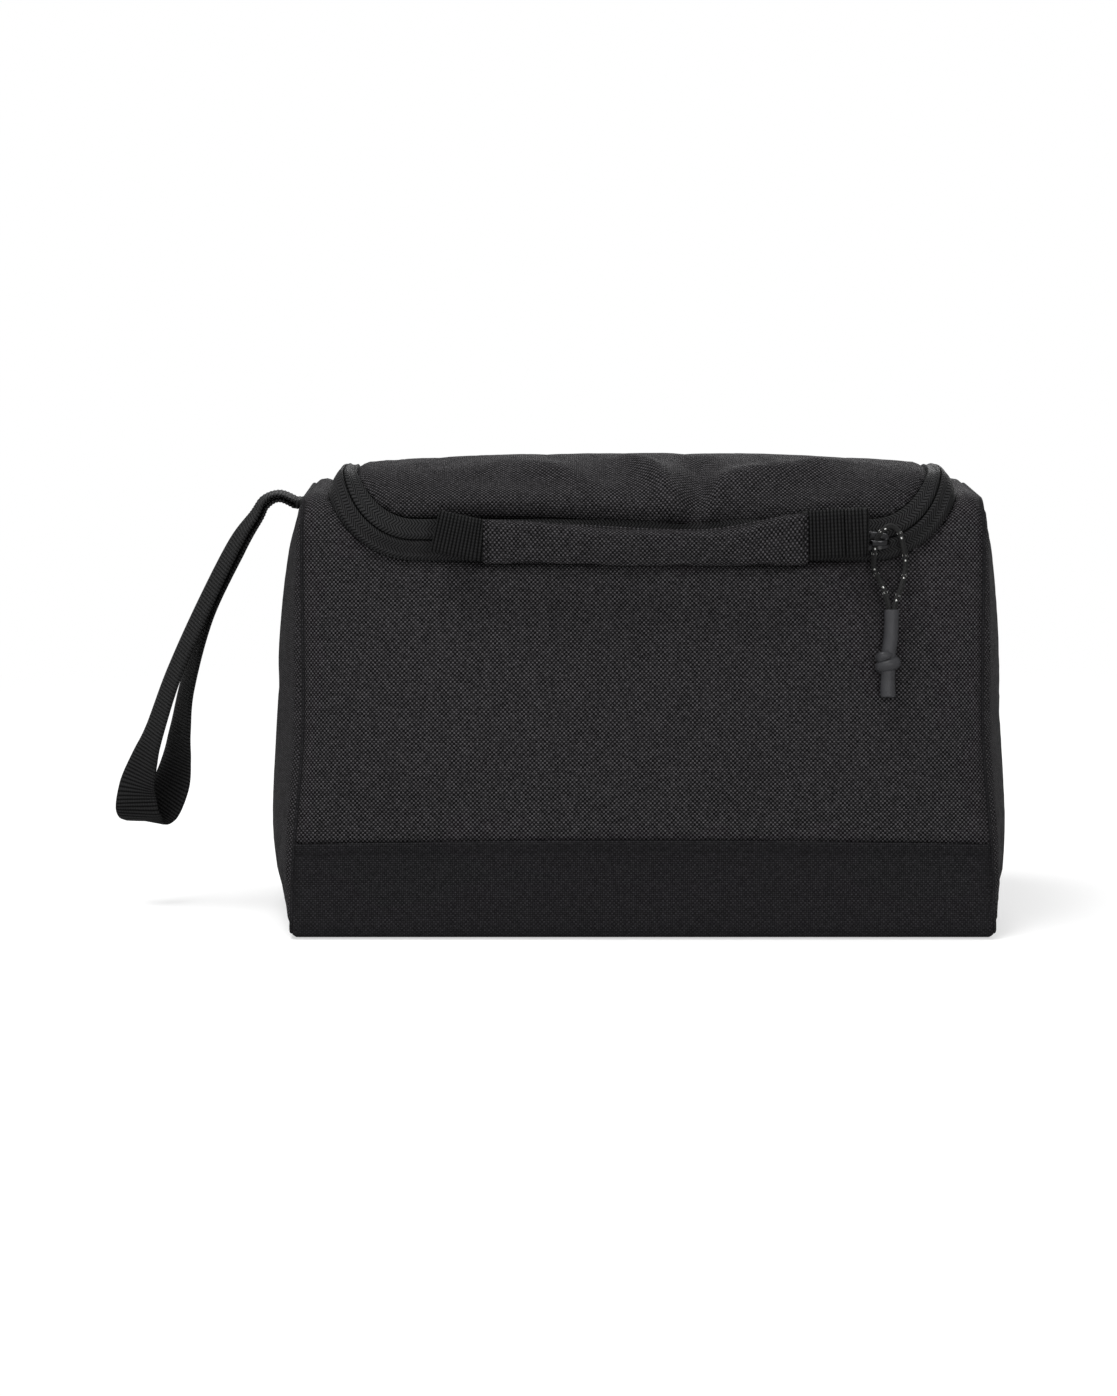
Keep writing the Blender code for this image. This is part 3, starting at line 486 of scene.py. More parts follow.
@dataclass(frozen=True)
class Block:
    """Padded block that every sewn piece is laid on."""

    width: float = 0.265
    depth: float = 0.136
    top_depth: float = 0.092
    height: float = 0.166
    base_radius: float = 0.0040
    top_radius: float = 0.018
    narrowing: float = 0.0030
    front_puff: float = 0.0040
    back_puff: float = 0.0030
    side_bulge: float = 0.0112
    right_bulge: float = 0.86
    bulge_top: float = 2.0
    bulge_low: float = 4.0
    pinch: float = 0.0031
    pinch_power: int = 16
    pinch_from: float = 0.02
    pinch_full: float = 0.08
    pinch_top: float = 0.16
    pinch_eased: float = 0.6
    corner_lift: float = 0.0010
    corner_from: float = 0.1308
    corner_high: float = 0.016
    seam_bow: float = 0.0016
    edge_roll: float = 0.011
    edge_drop_top: float = 0.0014
    edge_drop_low: float = 0.0015
    roll_power: float = 3.0
    roll_from: float = 0.048
    roll_to: float = 0.006
    base_roll: float = 0.020
    band_height: float = 0.0365
    zip_drop: float = 0.0168
    hinge_drop: float = 0.0030
    zip_half: float = 0.1165
    zip_corner: float = 0.0290
    spread_front: float = 0.0145
    spread_side: float = 0.0105
    lid_front_rise: float = 0.0040
    lid_top_rise: float = 0.0120
    lid_side_fall: float = 0.0030
    lid_skew: float = 0.08
    seam_gap: float = 0.0003
    fabric: float = 0.0010
    foam: float = 0.0024
    pressed: float = 0.0016
    foam_sink: float = 0.0007
    lining: float = 0.0006
    tape_sink: float = 0.0004

    @cached_property
    def half(self) -> float:
        """Half the width."""
        return self.width / 2

    @cached_property
    def side(self) -> float:
        """Half width of the panels at the side seams."""
        return self.half - self.seam_gap

    @cached_property
    def pieces(self) -> list[tuple[float, Vector, Vector, float]]:
        """Straight and arc pieces of the section as (length, start, normal, radius)."""
        low, high = self.depth / 2, self.top_depth / 2
        corners = [Vector(c) for c in ((-low, 0), (-high, self.height), (high, self.height), (low, 0))]
        radii = [self.base_radius, self.top_radius, self.top_radius, self.base_radius]
        at = Vector((0, 0))
        found = []
        for corner, radius, after in zip(corners, radii, corners[1:] + [Vector((0, 0))]):
            way = (corner - at).normalized()
            way_on = (after - corner).normalized()
            turn = way.angle(way_on)
            back_off = radius * math.tan(turn / 2)
            normal = Vector((-way.y, way.x))
            found.append(((corner - at).length - back_off, at.copy(), normal, 0.0))
            found.append((radius * turn, corner - way * back_off, normal, radius))
            at = corner + way_on * back_off
        way = -at.normalized()
        found.append((at.length, at.copy(), Vector((-way.y, way.x)), 0.0))
        return found

    @cached_property
    def starts(self) -> list[float]:
        """Distance s at which each piece of the section starts."""
        return [sum(piece[0] for piece in self.pieces[:k]) for k in range(len(self.pieces) + 1)]

    @cached_property
    def round(self) -> float:
        """Length once round the section."""
        return self.starts[-1]

    def section(self, s: float) -> tuple[Vector, Vector]:
        """Point and outward normal, each as (y, z), at a distance round the section."""
        s = s % self.round
        for length, start, normal, radius in self.pieces:
            if s <= length:
                break
            s -= length
        if radius == 0.0:
            return start + Vector((normal.y, -normal.x)) * s, normal
        turn = s / radius
        turned = Vector((normal.x * math.cos(turn) + normal.y * math.sin(turn),
                         normal.y * math.cos(turn) - normal.x * math.sin(turn)))
        return start - normal * radius + turned * radius, turned

    def find_s(self, height: float, low: float, high: float) -> float:
        """Distance s between two others at which the section reaches a height."""
        rising = self.section(high)[0].y > self.section(low)[0].y
        for _ in range(50):
            middle = (low + high) / 2
            if (self.section(middle)[0].y < height) == rising:
                low = middle
            else:
                high = middle
        return (low + high) / 2

    def on_back(self, height: float) -> float:
        """Distance s at a height of the back face."""
        return self.find_s(height, self.starts[BACK], self.starts[BACK + 1])

    @cached_property
    def s_top(self) -> float:
        """Middle of the top."""
        return (self.starts[TOP] + self.starts[TOP + 1]) / 2

    @cached_property
    def s_band(self) -> float:
        """Seam of the base band on the front."""
        return self.find_s(self.band_height, self.starts[FRONT], self.starts[FRONT + 1])

    @cached_property
    def s_band_back(self) -> float:
        """Seam of the base band on the back."""
        return self.on_back(self.band_height)

    @cached_property
    def s_zip(self) -> float:
        """Middle of the zip on the front."""
        return self.find_s(self.height - self.zip_drop, self.starts[FRONT], self.s_top)

    @cached_property
    def s_hinge(self) -> float:
        """Seam on which the lid turns."""
        return self.find_s(self.height - self.hinge_drop, self.s_top, self.starts[BACK + 1])

    @cached_property
    def s_foam_front(self) -> float:
        """Upper edge of the front foam."""
        return self.s_zip - self.spread_front / 2 - self.foam

    def edge_drop(self, x: float, s: float) -> float:
        """How far the skin rolls in towards the side seam."""
        t = (abs(x) - (self.half - self.edge_roll)) / self.edge_roll
        if t <= 0:
            return 0.0
        height = self.section(s)[0].y
        low = self.edge_drop_low * ease(0.0, self.base_roll, height)
        high = ease(self.height - self.roll_from, self.height - self.roll_to, height)
        return (low + (self.edge_drop_top - low) * high) * t ** self.roll_power

    def puff(self, x: float, s: float) -> float:
        """Padding of the front and back faces, less the roll at the side seams."""
        s = s % self.round
        out = 0.0
        for start, end, high in (
                (self.starts[FRONT], self.s_zip - self.spread_front / 2, self.front_puff),
                (self.starts[BACK], self.starts[BACK + 1], self.back_puff)):
            if start < s < end:
                out = high * math.sin(math.pi * (s - start) / (end - start))
        return out * (1 - (x / self.half) ** 2) - self.edge_drop(x, s)

    def narrow(self, z: float) -> float:
        """Width factor: the bag is a little narrower at the top."""
        return 1 - self.narrowing / self.half * z / self.height

    def across(self, x: float, z: float) -> float:
        """True x of a pattern x at a height: the side seams are pulled in above the band."""
        near = min(1.0, abs(x) / self.half) ** self.pinch_power
        pull = self.pinch * ease(self.pinch_from, self.pinch_full, z)
        pull *= 1 - self.pinch_eased * ease(self.pinch_full, self.pinch_top, z)
        return x * self.narrow(z) - math.copysign(pull * near, x)

    def wrap(self, x: float, s: float, n: float) -> Vector:
        """Point x across the bag, s round its section and n outside the skin."""
        at, normal = self.section(s)
        at = at + normal * (self.puff(x, s) + n)
        lift = self.corner_lift * ease(self.corner_from, self.half, abs(x))
        lift *= 1 - ease(0.0, self.corner_high, at.y)
        return Vector((self.across(x, at.y), at.x, at.y + lift))

    def ring(self, count: int, n: float) -> list[Vector]:
        """Points round the side seam, n outside the skin."""
        return [self.wrap(self.half, self.round * k / count, n) for k in range(count)]

    def bow(self, x: float) -> float:
        """How far the band's seam hangs down towards the sides."""
        return self.seam_bow * (x / self.half) ** 2

    def lid_rise(self, x: float, s: float) -> float:
        """Height of the domed lid above the block."""
        begin = self.s_zip + self.spread_front / 2
        t = min(1.0, max(0.0, (s - begin) / (self.s_hinge - begin)))
        dome = math.sin(math.pi * (t + self.lid_skew * math.sin(math.pi * t)))
        fall = self.lid_side_fall * (x / self.zip_half) ** 2
        top = self.lid_top_rise - self.lid_front_rise / 2 - fall
        return self.lid_front_rise * (1 - t) + dome * top

    def u_path(self, share: float, steps: int = 28) -> list[Flat]:
        """Pattern points of the U from its left hinge end to its right one.

        Args:
            share: 0 at the body's edge of the zip and 1 at the lid's.
            steps: points on each straight or corner.

        Returns:
            Points as (x, s).
        """
        half = self.zip_half - self.spread_side * (share - 0.5)
        front = self.s_zip + self.spread_front * (share - 0.5)
        corner = self.zip_corner - self.spread_side * (share - 0.5)
        straight = half - corner
        right = [(straight * k / steps, front) for k in range(steps)]
        for k in range(steps + 1):
            turn = math.pi / 2 * k / steps
            right.append((straight + corner * math.sin(turn), front + corner * (1 - math.cos(turn))))
        begin = front + corner
        end = self.s_hinge - self.seam_gap
        right += [(half, begin + (end - begin) * k / steps) for k in range(1, steps + 1)]
        return [(-x, s) for x, s in reversed(right[1:])] + right

    def side_swell(self, y: float, z: float, sign: int) -> float:
        """How far the left (-1) or right (1) side panel bulges out of its seam plane."""
        deep = self.depth / 2 + (self.top_depth - self.depth) / 2 * z / self.height
        along = max(0.0, 1 - (y / deep) ** 2)
        off = 2 * z / self.height - 1
        up = max(0.0, 1 - abs(off) ** (self.bulge_top if off > 0 else self.bulge_low))
        return self.side_bulge * (self.right_bulge if sign > 0 else 1.0) * along * up

    def zip_point(self, share: float) -> Vector:
        """Point on the straight front run of the tapes."""
        s = self.s_zip + self.spread_front * (share - 0.5)
        return self.wrap(0, s, self.lid_front_rise * share - self.tape_sink)

    @cached_property
    def zip_axes(self) -> tuple[Vector, Vector, Vector]:
        """Middle of the front zip run, its upward and its outward direction."""
        up = (self.zip_point(0.75) - self.zip_point(0.25)).normalized()
        return self.zip_point(0.5), up, Vector((1, 0, 0)).cross(up)

    def at_zip(self, u: float, v: float, w: float) -> Vector:
        """Point u across, v up and w out from the middle of the front zip run."""
        middle, up, out = self.zip_axes
        return middle + Vector((u, 0, 0)) + up * v + out * w

    def on_front(self, x: float, height: float, n: float) -> Vector:
        """Point n outside the front panel at a true x and a height."""
        s = self.find_s(height, self.starts[FRONT], self.s_top)
        return self.wrap(x / self.narrow(height), s, n)


BLOCK = Block()


def rows_of(vectors: Sequence[Vector]) -> np.ndarray:
    """Array with one row for each vector."""
    return np.array([v[:] for v in vectors])


def runs(points: np.ndarray) -> np.ndarray:
    """Distance along a line of points, from 0 at the first."""
    return np.concatenate([[0.0], np.cumsum(np.linalg.norm(np.diff(points, axis=0), axis=1))])


def smooth_route(points: Sequence[Vector], steps: int) -> list[Vector]:
    """Smooth curve through chosen points, with a number of steps for each stretch."""
    route = [points[0]] + list(points) + [points[-1]]
    curve = []
    for a, b, c, d in zip(route, route[1:], route[2:], route[3:]):
        for k in range(steps):
            t = k / steps
            curve.append(0.5 * (2 * b + (c - a) * t + (2 * a - 5 * b + 4 * c - d) * t * t
                                + (3 * b - a - 3 * c + d) * t ** 3))
    return curve + [points[-1].copy()]


def headings(line: Sequence[Vector]) -> list[Vector]:
    """Direction of a curve at each of its points."""
    last = len(line) - 1
    return [(line[min(k + 1, last)] - line[max(k - 1, 0)]).normalized() for k in range(len(line))]


def resample(points: np.ndarray, step: float) -> np.ndarray:
    """Even rows along a line of x, y, z and further values, with the distance as last column."""
    run = runs(points[:, :3])
    at = np.linspace(0.0, run[-1], max(2, int(round(run[-1] / step)) + 1))
    columns = [np.interp(at, run, points[:, k]) for k in range(points.shape[1])]
    return np.column_stack(columns + [at])


def vertex_normals(points: np.ndarray, faces: Faces) -> np.ndarray:
    """Normals of an open sheet at its points."""
    mesh = bpy.data.meshes.new("normals")
    mesh.from_pydata(points.tolist(), [], faces)
    found = np.array([n.vector[:] for n in mesh.vertex_normals])
    bpy.data.meshes.remove(mesh)
    return found


def link(name: str, data: bpy.types.ID) -> Object:
    """New object in the scene."""
    thing = bpy.data.objects.new(name, data)
    bpy.context.scene.collection.objects.link(thing)
    return thing


def make_piece(name: str, points: np.ndarray, faces: Faces, uv: np.ndarray | None,
               material: Material, recalc: bool = False) -> Object:
    """Make one smooth-shaded object with its place in its mesh.

    Args:
        name: the piece's name.
        points: rows of x, y, z.
        faces: corner numbers of each face.
        uv: pattern coordinates for each point, in metres.
        material: its material.
        recalc: turn the faces outwards.

    Returns:
        The linked object.
    """
    mesh = bpy.data.meshes.new(name)
    mesh.from_pydata(np.asarray(points).tolist(), [], faces)
    if uv is not None:
        layer = mesh.uv_layers.new(name="cloth")
        corner = np.zeros(len(mesh.loops), dtype=np.int64)
        mesh.loops.foreach_get("vertex_index", corner)
        layer.data.foreach_set("uv", np.asarray(uv, dtype=np.float32)[corner].ravel())
    if recalc:
        bm = bmesh.new()
        bm.from_mesh(mesh)
        bmesh.ops.recalc_face_normals(bm, faces=bm.faces[:])
        if bm.calc_volume(signed=True) < 0:
            bmesh.ops.reverse_faces(bm, faces=bm.faces[:])
        bm.to_mesh(mesh)
        bm.free()
    mesh.materials.append(material)
    mesh.shade_smooth()
    return link(name, mesh)


def sweep(rings: Sequence, closed: bool = False) -> tuple[np.ndarray, Faces]:
    """Points and faces of a body through equal rings, capped or closed into a loop."""
    rings = np.array(rings)
    rows, around = rings.shape[:2]
    faces = []
    for r in range(rows if closed else rows - 1):
        a, b = r * around, ((r + 1) % rows) * around
        for k in range(around):
            m = (k + 1) % around
            faces.append([a + k, a + m, b + m, b + k])
    if not closed:
        faces.append(list(reversed(range(around))))
        faces.append([(rows - 1) * around + k for k in range(around)])
    return rings.reshape(-1, 3), faces


def joined(name: str, parts: Sequence[tuple], finish: Finish) -> Object:
    """One piece from bodies given as points, faces and pattern coordinates, if they have any."""
    points, faces, uvs = [], [], []
    base = 0
    for body, body_faces, *uv in parts:
        points.append(body)
        uvs += uv
        faces += [[k + base for k in face] for face in body_faces]
        base += len(body)
    return make_piece(name, np.vstack(points), faces, np.vstack(uvs) if uvs else None, paint(finish),
                      recalc=True)


@dataclass(frozen=True)
class Swell:
    """How a pinned skin is swelled by the cloth solver."""

    pressure: float = 3.0
    slack: float = 0.004
    frames: int = 20
    cap: float = 0.0035
    bend: float = 1.5
    mass: float = 0.002
    pull: float = 12.0
    shear: float = 6.0
    quality: int = 6

    def run(self, points: np.ndarray, faces: Faces, held: np.ndarray) -> np.ndarray:
        """Swell a sheet between its held points.

        Args:
            points: rows of x, y, z.
            faces: corner numbers of each face, pointing outwards.
            held: weight from 0, free, to 1, sewn down.

        Returns:
            The settled points.
        """
        mesh = bpy.data.meshes.new("swelling")
        mesh.from_pydata(points.tolist(), [], faces)
        thing = link("swelling", mesh)
        group = thing.vertex_groups.new(name="sewn")
        for k, weight in enumerate(held):
            if weight > 0:
                group.add([k], float(weight), "REPLACE")
        cloth = thing.modifiers.new("swell", "CLOTH")
        rule = cloth.settings
        rule.quality = self.quality
        rule.mass = self.mass
        rule.tension_stiffness = rule.compression_stiffness = self.pull
        rule.shear_stiffness = self.shear
        rule.bending_stiffness = self.bend
        rule.use_pressure = True
        rule.uniform_pressure_force = self.pressure
        rule.shrink_min = -self.slack
        rule.effector_weights.gravity = 0.0
        rule.vertex_group_mass = "sewn"
        cloth.collision_settings.use_collision = False
        for step in range(1, self.frames + 1):
            bpy.context.scene.frame_set(step)
        settled = thing.evaluated_get(bpy.context.evaluated_depsgraph_get())
        found = np.zeros(len(points) * 3)
        settled.data.vertices.foreach_get("co", found)
        bpy.context.scene.frame_set(1)
        bpy.data.objects.remove(thing, do_unlink=True)
        bpy.data.meshes.remove(mesh)
        move = found.reshape(-1, 3) - points
        far = np.linalg.norm(move, axis=1, keepdims=True)
        move *= np.where(far > 1e-9, self.cap * np.tanh(far / self.cap) / np.maximum(far, 1e-9), 1.0)
        return points + move


def distance_to(spots: np.ndarray, line: np.ndarray) -> np.ndarray:
    """Distance of flat points from a broken line."""
    away = np.full(len(spots), np.inf)
    for a, b in zip(line, line[1:]):
        way = b - a
        t = np.clip(((spots - a) @ way) / max(float(way @ way), 1e-12), 0.0, 1.0)[:, None]
        away = np.minimum(away, np.linalg.norm(spots - (a + t * way), axis=1))
    return away


class Patch:
    """Flat pattern piece cut into small faces."""

    def __init__(self, outline: Sequence[Flat], step: float, x_lines: Sequence[float] = (),
                 s_lines: Sequence[float] = ()) -> None:
        """Cut the outline on a grid.

        Args:
            outline: corners as (x, s).
            step: size of the faces.
            x_lines: further lines across x.
            s_lines: further lines across s.
        """
        self.outline = np.array(outline)
        bm = bmesh.new()
        ring = list(outline)
        if sum(a[0] * b[1] - b[0] * a[1] for a, b in zip(ring, ring[1:] + ring[:1])) < 0:
            ring.reverse()
        bm.faces.new([bm.verts.new((x, s, 0)) for x, s in ring])
        low, high = self.outline.min(axis=0), self.outline.max(axis=0)
        for axis, extra in enumerate((x_lines, s_lines)):
            way = Vector((1 - axis, axis, 0))
            count = max(1, int(round((high[axis] - low[axis]) / step)))
            for line in list(np.linspace(low[axis], high[axis], count + 1)[1:-1]) + list(extra):
                bmesh.ops.bisect_plane(bm, geom=bm.verts[:] + bm.edges[:] + bm.faces[:], dist=1e-6,
                                       plane_co=way * float(line), plane_no=way)
        bmesh.ops.remove_doubles(bm, verts=bm.verts[:], dist=step * 0.06)
        bmesh.ops.triangulate(bm, faces=[f for f in bm.faces if len(f.verts) > 4])
        bm.verts.index_update()
        self.flat = np.array([v.co.xy[:] for v in bm.verts])
        self.faces = [[v.index for v in f.verts] for f in bm.faces]
        self.rim = [(e.link_loops[0].vert.index, e.link_loops[0].link_loop_next.vert.index)
                    for e in bm.edges if len(e.link_faces) == 1]
        bm.free()

    def turn_over(self) -> None:
        """Turn every face over."""
        self.faces = [face[::-1] for face in self.faces]
        self.rim = [(b, a) for a, b in self.rim]

    def lay(self, place: Callable[[float, float], Vector]) -> np.ndarray:
        """Points of the piece once it is laid on a surface."""
        return rows_of([place(float(x), float(s)) for x, s in self.flat])

    def from_rim(self) -> np.ndarray:
        """Distance of each point from the outline, in the flat."""
        return distance_to(self.flat, np.vstack([self.outline, self.outline[:1]]))

    def area(self, laid: np.ndarray) -> float:
        """Area of the laid piece."""
        total = 0.0
        for face in self.faces:
            for b, c in zip(face[1:], face[2:]):
                total += np.linalg.norm(np.cross(laid[b] - laid[face[0]], laid[c] - laid[face[0]])) / 2
        return float(total)

    def dip(self, laid: np.ndarray, depth: np.ndarray) -> np.ndarray:
        """Laid points moved in along their normals."""
        return laid - vertex_normals(laid, self.faces) * depth[:, None]

    def solid(self, name: str, outer: np.ndarray, thick: float, finish: Finish,
              uv: np.ndarray | None = None) -> Object:
        """Closed sheet under the laid points.

        Args:
            name: the piece's name.
            outer: points of the outer face.
            thick: thickness inwards.
            finish: its finish.
            uv: cloth coordinates, if they aren't the flat pattern's.

        Returns:
            The linked object.
        """
        count = len(outer)
        uv = self.flat if uv is None else uv
        inner = self.dip(outer, np.full(count, thick))
        faces = self.faces + [[k + count for k in reversed(face)] for face in self.faces]
        faces += [[b, a, a + count, b + count] for a, b in self.rim]
        piece = make_piece(name, np.vstack([outer, inner]), faces, np.vstack([uv, uv]), paint(finish))
        for face in piece.data.polygons[len(faces) - len(self.rim):]:
            face.use_smooth = False
        return piece


def side_patch(outline: Sequence[Flat], step: float, sign: int, start: float) -> tuple[Patch, np.ndarray]:
    """Pattern of a left (-1) or right (1) side layer, and its points on the side's bulge."""
    patch = Patch(outline, step)
    if sign < 0:
        patch.turn_over()
    return patch, patch.lay(lambda y, z: Vector((
        sign * (BLOCK.across(start, z) + BLOCK.side_swell(y, z, sign)), y, z)))


@dataclass(frozen=True)
class Fold:
    """Soft ridge or dent along a line of the pattern."""

    start: Flat
    end: Flat
    width: float
    height: float
    beyond: float = 0.15

    def at(self, x: float, s: float) -> float:
        """Height of the fold at a pattern point."""
        ax, as_ = self.start
        bx, bs = self.end[0] - ax, self.end[1] - as_
        t = ((x - ax) * bx + (s - as_) * bs) / (bx * bx + bs * bs)
        t = min(1 + self.beyond, max(-self.beyond, t))
        gap = math.hypot(x - ax - bx * t, s - as_ - bs * t)
        fade = math.sin(math.pi * min(1.0, max(0.0, (t + self.beyond) / (1 + 2 * self.beyond))))
        return self.height * fade * math.exp(-(gap / self.width) ** 2)


def folds_at(folds: Sequence[Fold], x: float, s: float) -> float:
    """Sum of the folds at a pattern point."""
    return sum(fold.at(x, s) for fold in folds)


class Repeater:
    """Geometry Nodes tree that sets one small shape along drawn lines."""

    SIZES = ("Spacing", "Length", "Width", "Height", "Finish")

    def __init__(self, shape: Shape) -> None:
        """Build the tree for one shape."""
        self.tree = bpy.data.node_groups.new(f"repeat_{shape.value}", "GeometryNodeTree")
        face = self.tree.interface
        face.new_socket("Lines", in_out="INPUT", socket_type="NodeSocketGeometry")
        self.keys = []
        for name in self.SIZES:
            kind = "Material" if name == "Finish" else "Float"
            made = face.new_socket(name, in_out="INPUT", socket_type=f"NodeSocket{kind}")
            self.keys.append(made.identifier)
        face.new_socket("Pieces", in_out="OUTPUT", socket_type="NodeSocketGeometry")
        lines, spacing, *sizes, finish = self.tree.nodes.new("NodeGroupInput").outputs[:6]
        curve = self.add("GeometryNodeMeshToCurve", {"Mesh": lines})
        even = self.add("GeometryNodeResampleCurve", {"Curve": curve, "Length": spacing}, mode="LENGTH")
        way = self.add("GeometryNodeInputTangent")
        out = self.add("GeometryNodeInputNamedAttribute", {"Name": "out"}, data_type="FLOAT_VECTOR")
        along = self.add("FunctionNodeAlignRotationToVector", {"Vector": way}, axis="X")
        stand = self.add("FunctionNodeAlignRotationToVector", {"Rotation": along, "Vector": out},
                         axis="Z", pivot_axis="X")
        size = self.add("ShaderNodeCombineXYZ", dict(enumerate(sizes)))
        if shape is Shape.STITCH:
            unit = self.add("GeometryNodeMeshUVSphere", {"Segments": 6, "Rings": 4, "Radius": 0.5})
        else:
            circle = "GeometryNodeCurvePrimitiveCircle"
            ring, wire = (self.add(circle, {"Resolution": count, "Radius": radius})
                          for count, radius in ((9, 0.36), (4, 0.15)))
            loop = self.add("GeometryNodeCurveToMesh", {"Curve": ring, "Profile Curve": wire})
            unit = self.add("GeometryNodeTransform",
                            {"Geometry": loop, "Rotation": (0.0, math.pi / 2.4, 0.0)})
        placed = self.add("GeometryNodeInstanceOnPoints",
                          {"Points": even, "Instance": unit, "Rotation": stand, "Scale": size})
        real = self.add("GeometryNodeRealizeInstances", {0: placed})
        soft = self.add("GeometryNodeSetShadeSmooth", {0: real})
        dressed = self.add("GeometryNodeSetMaterial", {"Geometry": soft, "Material": finish})
        self.tree.links.new(dressed, self.tree.nodes.new("NodeGroupOutput").inputs[0])

    def add(self, kind: str, feeds: dict | None = None, **settings: str) -> bpy.types.NodeSocket:
        """Add one node with its settings, links and values, and return its first output."""
        made = self.tree.nodes.new(kind)
        for key, value in settings.items():
            setattr(made, key, value)
        for key, value in (feeds or {}).items():
            if isinstance(value, bpy.types.NodeSocket):
                self.tree.links.new(value, made.inputs[key])
            else:
                made.inputs[key].default_value = value
        return made.outputs[0]

    def run(self, name: str, lines: Sequence[tuple[np.ndarray, np.ndarray]], spacing: float,
            size: tuple[float, float, float], finish: Finish) -> Object:
        """Repeat the shape along lines.

        Args:
            name: the piece's name.
            lines: pairs of points and outward directions.
            spacing: distance between the shapes.
            size: length, width and height of one shape.
            finish: its finish.

        Returns:
            One plain mesh object.
        """
        points, outs, edges = [], [], []
        for line, out in lines:
            base = len(points)
            points += [tuple(p) for p in line]
            outs += [tuple(n) for n in out]
            edges += [(base + k, base + k + 1) for k in range(len(line) - 1)]
        mesh = bpy.data.meshes.new(name)
        mesh.from_pydata(points, edges, [])
        mark = mesh.attributes.new("out", "FLOAT_VECTOR", "POINT")
        mark.data.foreach_set("vector", np.asarray(outs, dtype=np.float32).ravel())
        thing = link(name, mesh)
        rule = thing.modifiers.new("repeat", "NODES")
        rule.node_group = self.tree
        for key, value in zip(self.keys, (spacing, *size, paint(finish))):
            rule[key] = value
        graph = bpy.context.evaluated_depsgraph_get()
        plain = bpy.data.meshes.new_from_object(thing.evaluated_get(graph))
        thing.modifiers.remove(rule)
        thing.data = plain
        bpy.data.meshes.remove(mesh)
        plain.name = name
        return thing


@dataclass(frozen=True)
class Bend:
    """Zone in which cloth turns from the body that it is sewn to towards its own body."""

    sewn_to: Body
    start: Vector
    end: Vector


def lid_bend(reach: float = 0.024) -> Bend:
    """Zone in front of the hinge line where the lid's cloth turns up."""
    hinge = BLOCK.wrap(0.0, BLOCK.s_hinge, 0.0)
    return Bend(Body.BODY, hinge, hinge - Vector((0, reach, 0)))


def settle(piece: Object, body: Body, slot: str, *nodes: str, bend: Bend | None = None,
           fill: float | None = None) -> Object:
    """Tie a finished piece to its body, unless it has a bend zone, and hide the solids that it stands for.

    Args:
        piece: finished object.
        body: body that it moves with.
        slot: not used.
        nodes: solids that it replaces.
        bend: if given, the piece is baked in place and not tied to a body.
        fill: not used.

    Returns:
        The same object.
    """
    if bend:
        bend.sewn_to.value
        body.value
        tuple(bend.start)
        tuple(bend.end)
        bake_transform(piece)
    else:
        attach(piece, body.value)
    if nodes:
        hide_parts(*nodes)
    LOG.info("%s rides on %s", piece.name, body.value)
    return piece


@dataclass(frozen=True)
class Layer:
    """One sewn layer: the solid that it stands for, its material slot, finish and thickness."""

    name: str
    slot: str
    finish: Finish
    thick: float
    fill: float | None = None

    def sew(self, patch: Patch, laid: np.ndarray, body: Body = Body.BODY, kind: str = "layer",
            uv: np.ndarray | None = None) -> Object:
        """Finished piece from its pattern and its laid points; one on the lid gets the hinge's bend zone, so
        it is baked in place.
        """
        piece = patch.solid(f"{self.name}_{kind}", laid, self.thick, self.finish, uv)
        bend = lid_bend() if body is Body.LID else None
        return settle(piece, body, self.slot, self.name, bend=bend, fill=self.fill)


def outer(name: str, fill: float = 0.6) -> Layer:
    """Padded outer cloth."""
    return Layer(name, "outer_fabric", OUTER, BLOCK.fabric, fill)


def foam(name: str) -> Layer:
    """Pressed foam."""
    return Layer(name, "foam", FOAM, BLOCK.pressed, 0.8)


def lining(name: str) -> Layer:
    """Lining cloth."""
    return Layer(name, "lining", LINING, BLOCK.lining)


def box_outline(x: float, s_low: float, s_high: float) -> list[Flat]:
    """Rectangular pattern outline from -x to x."""
    return [(-x, s_low), (x, s_low), (x, s_high), (-x, s_high)]


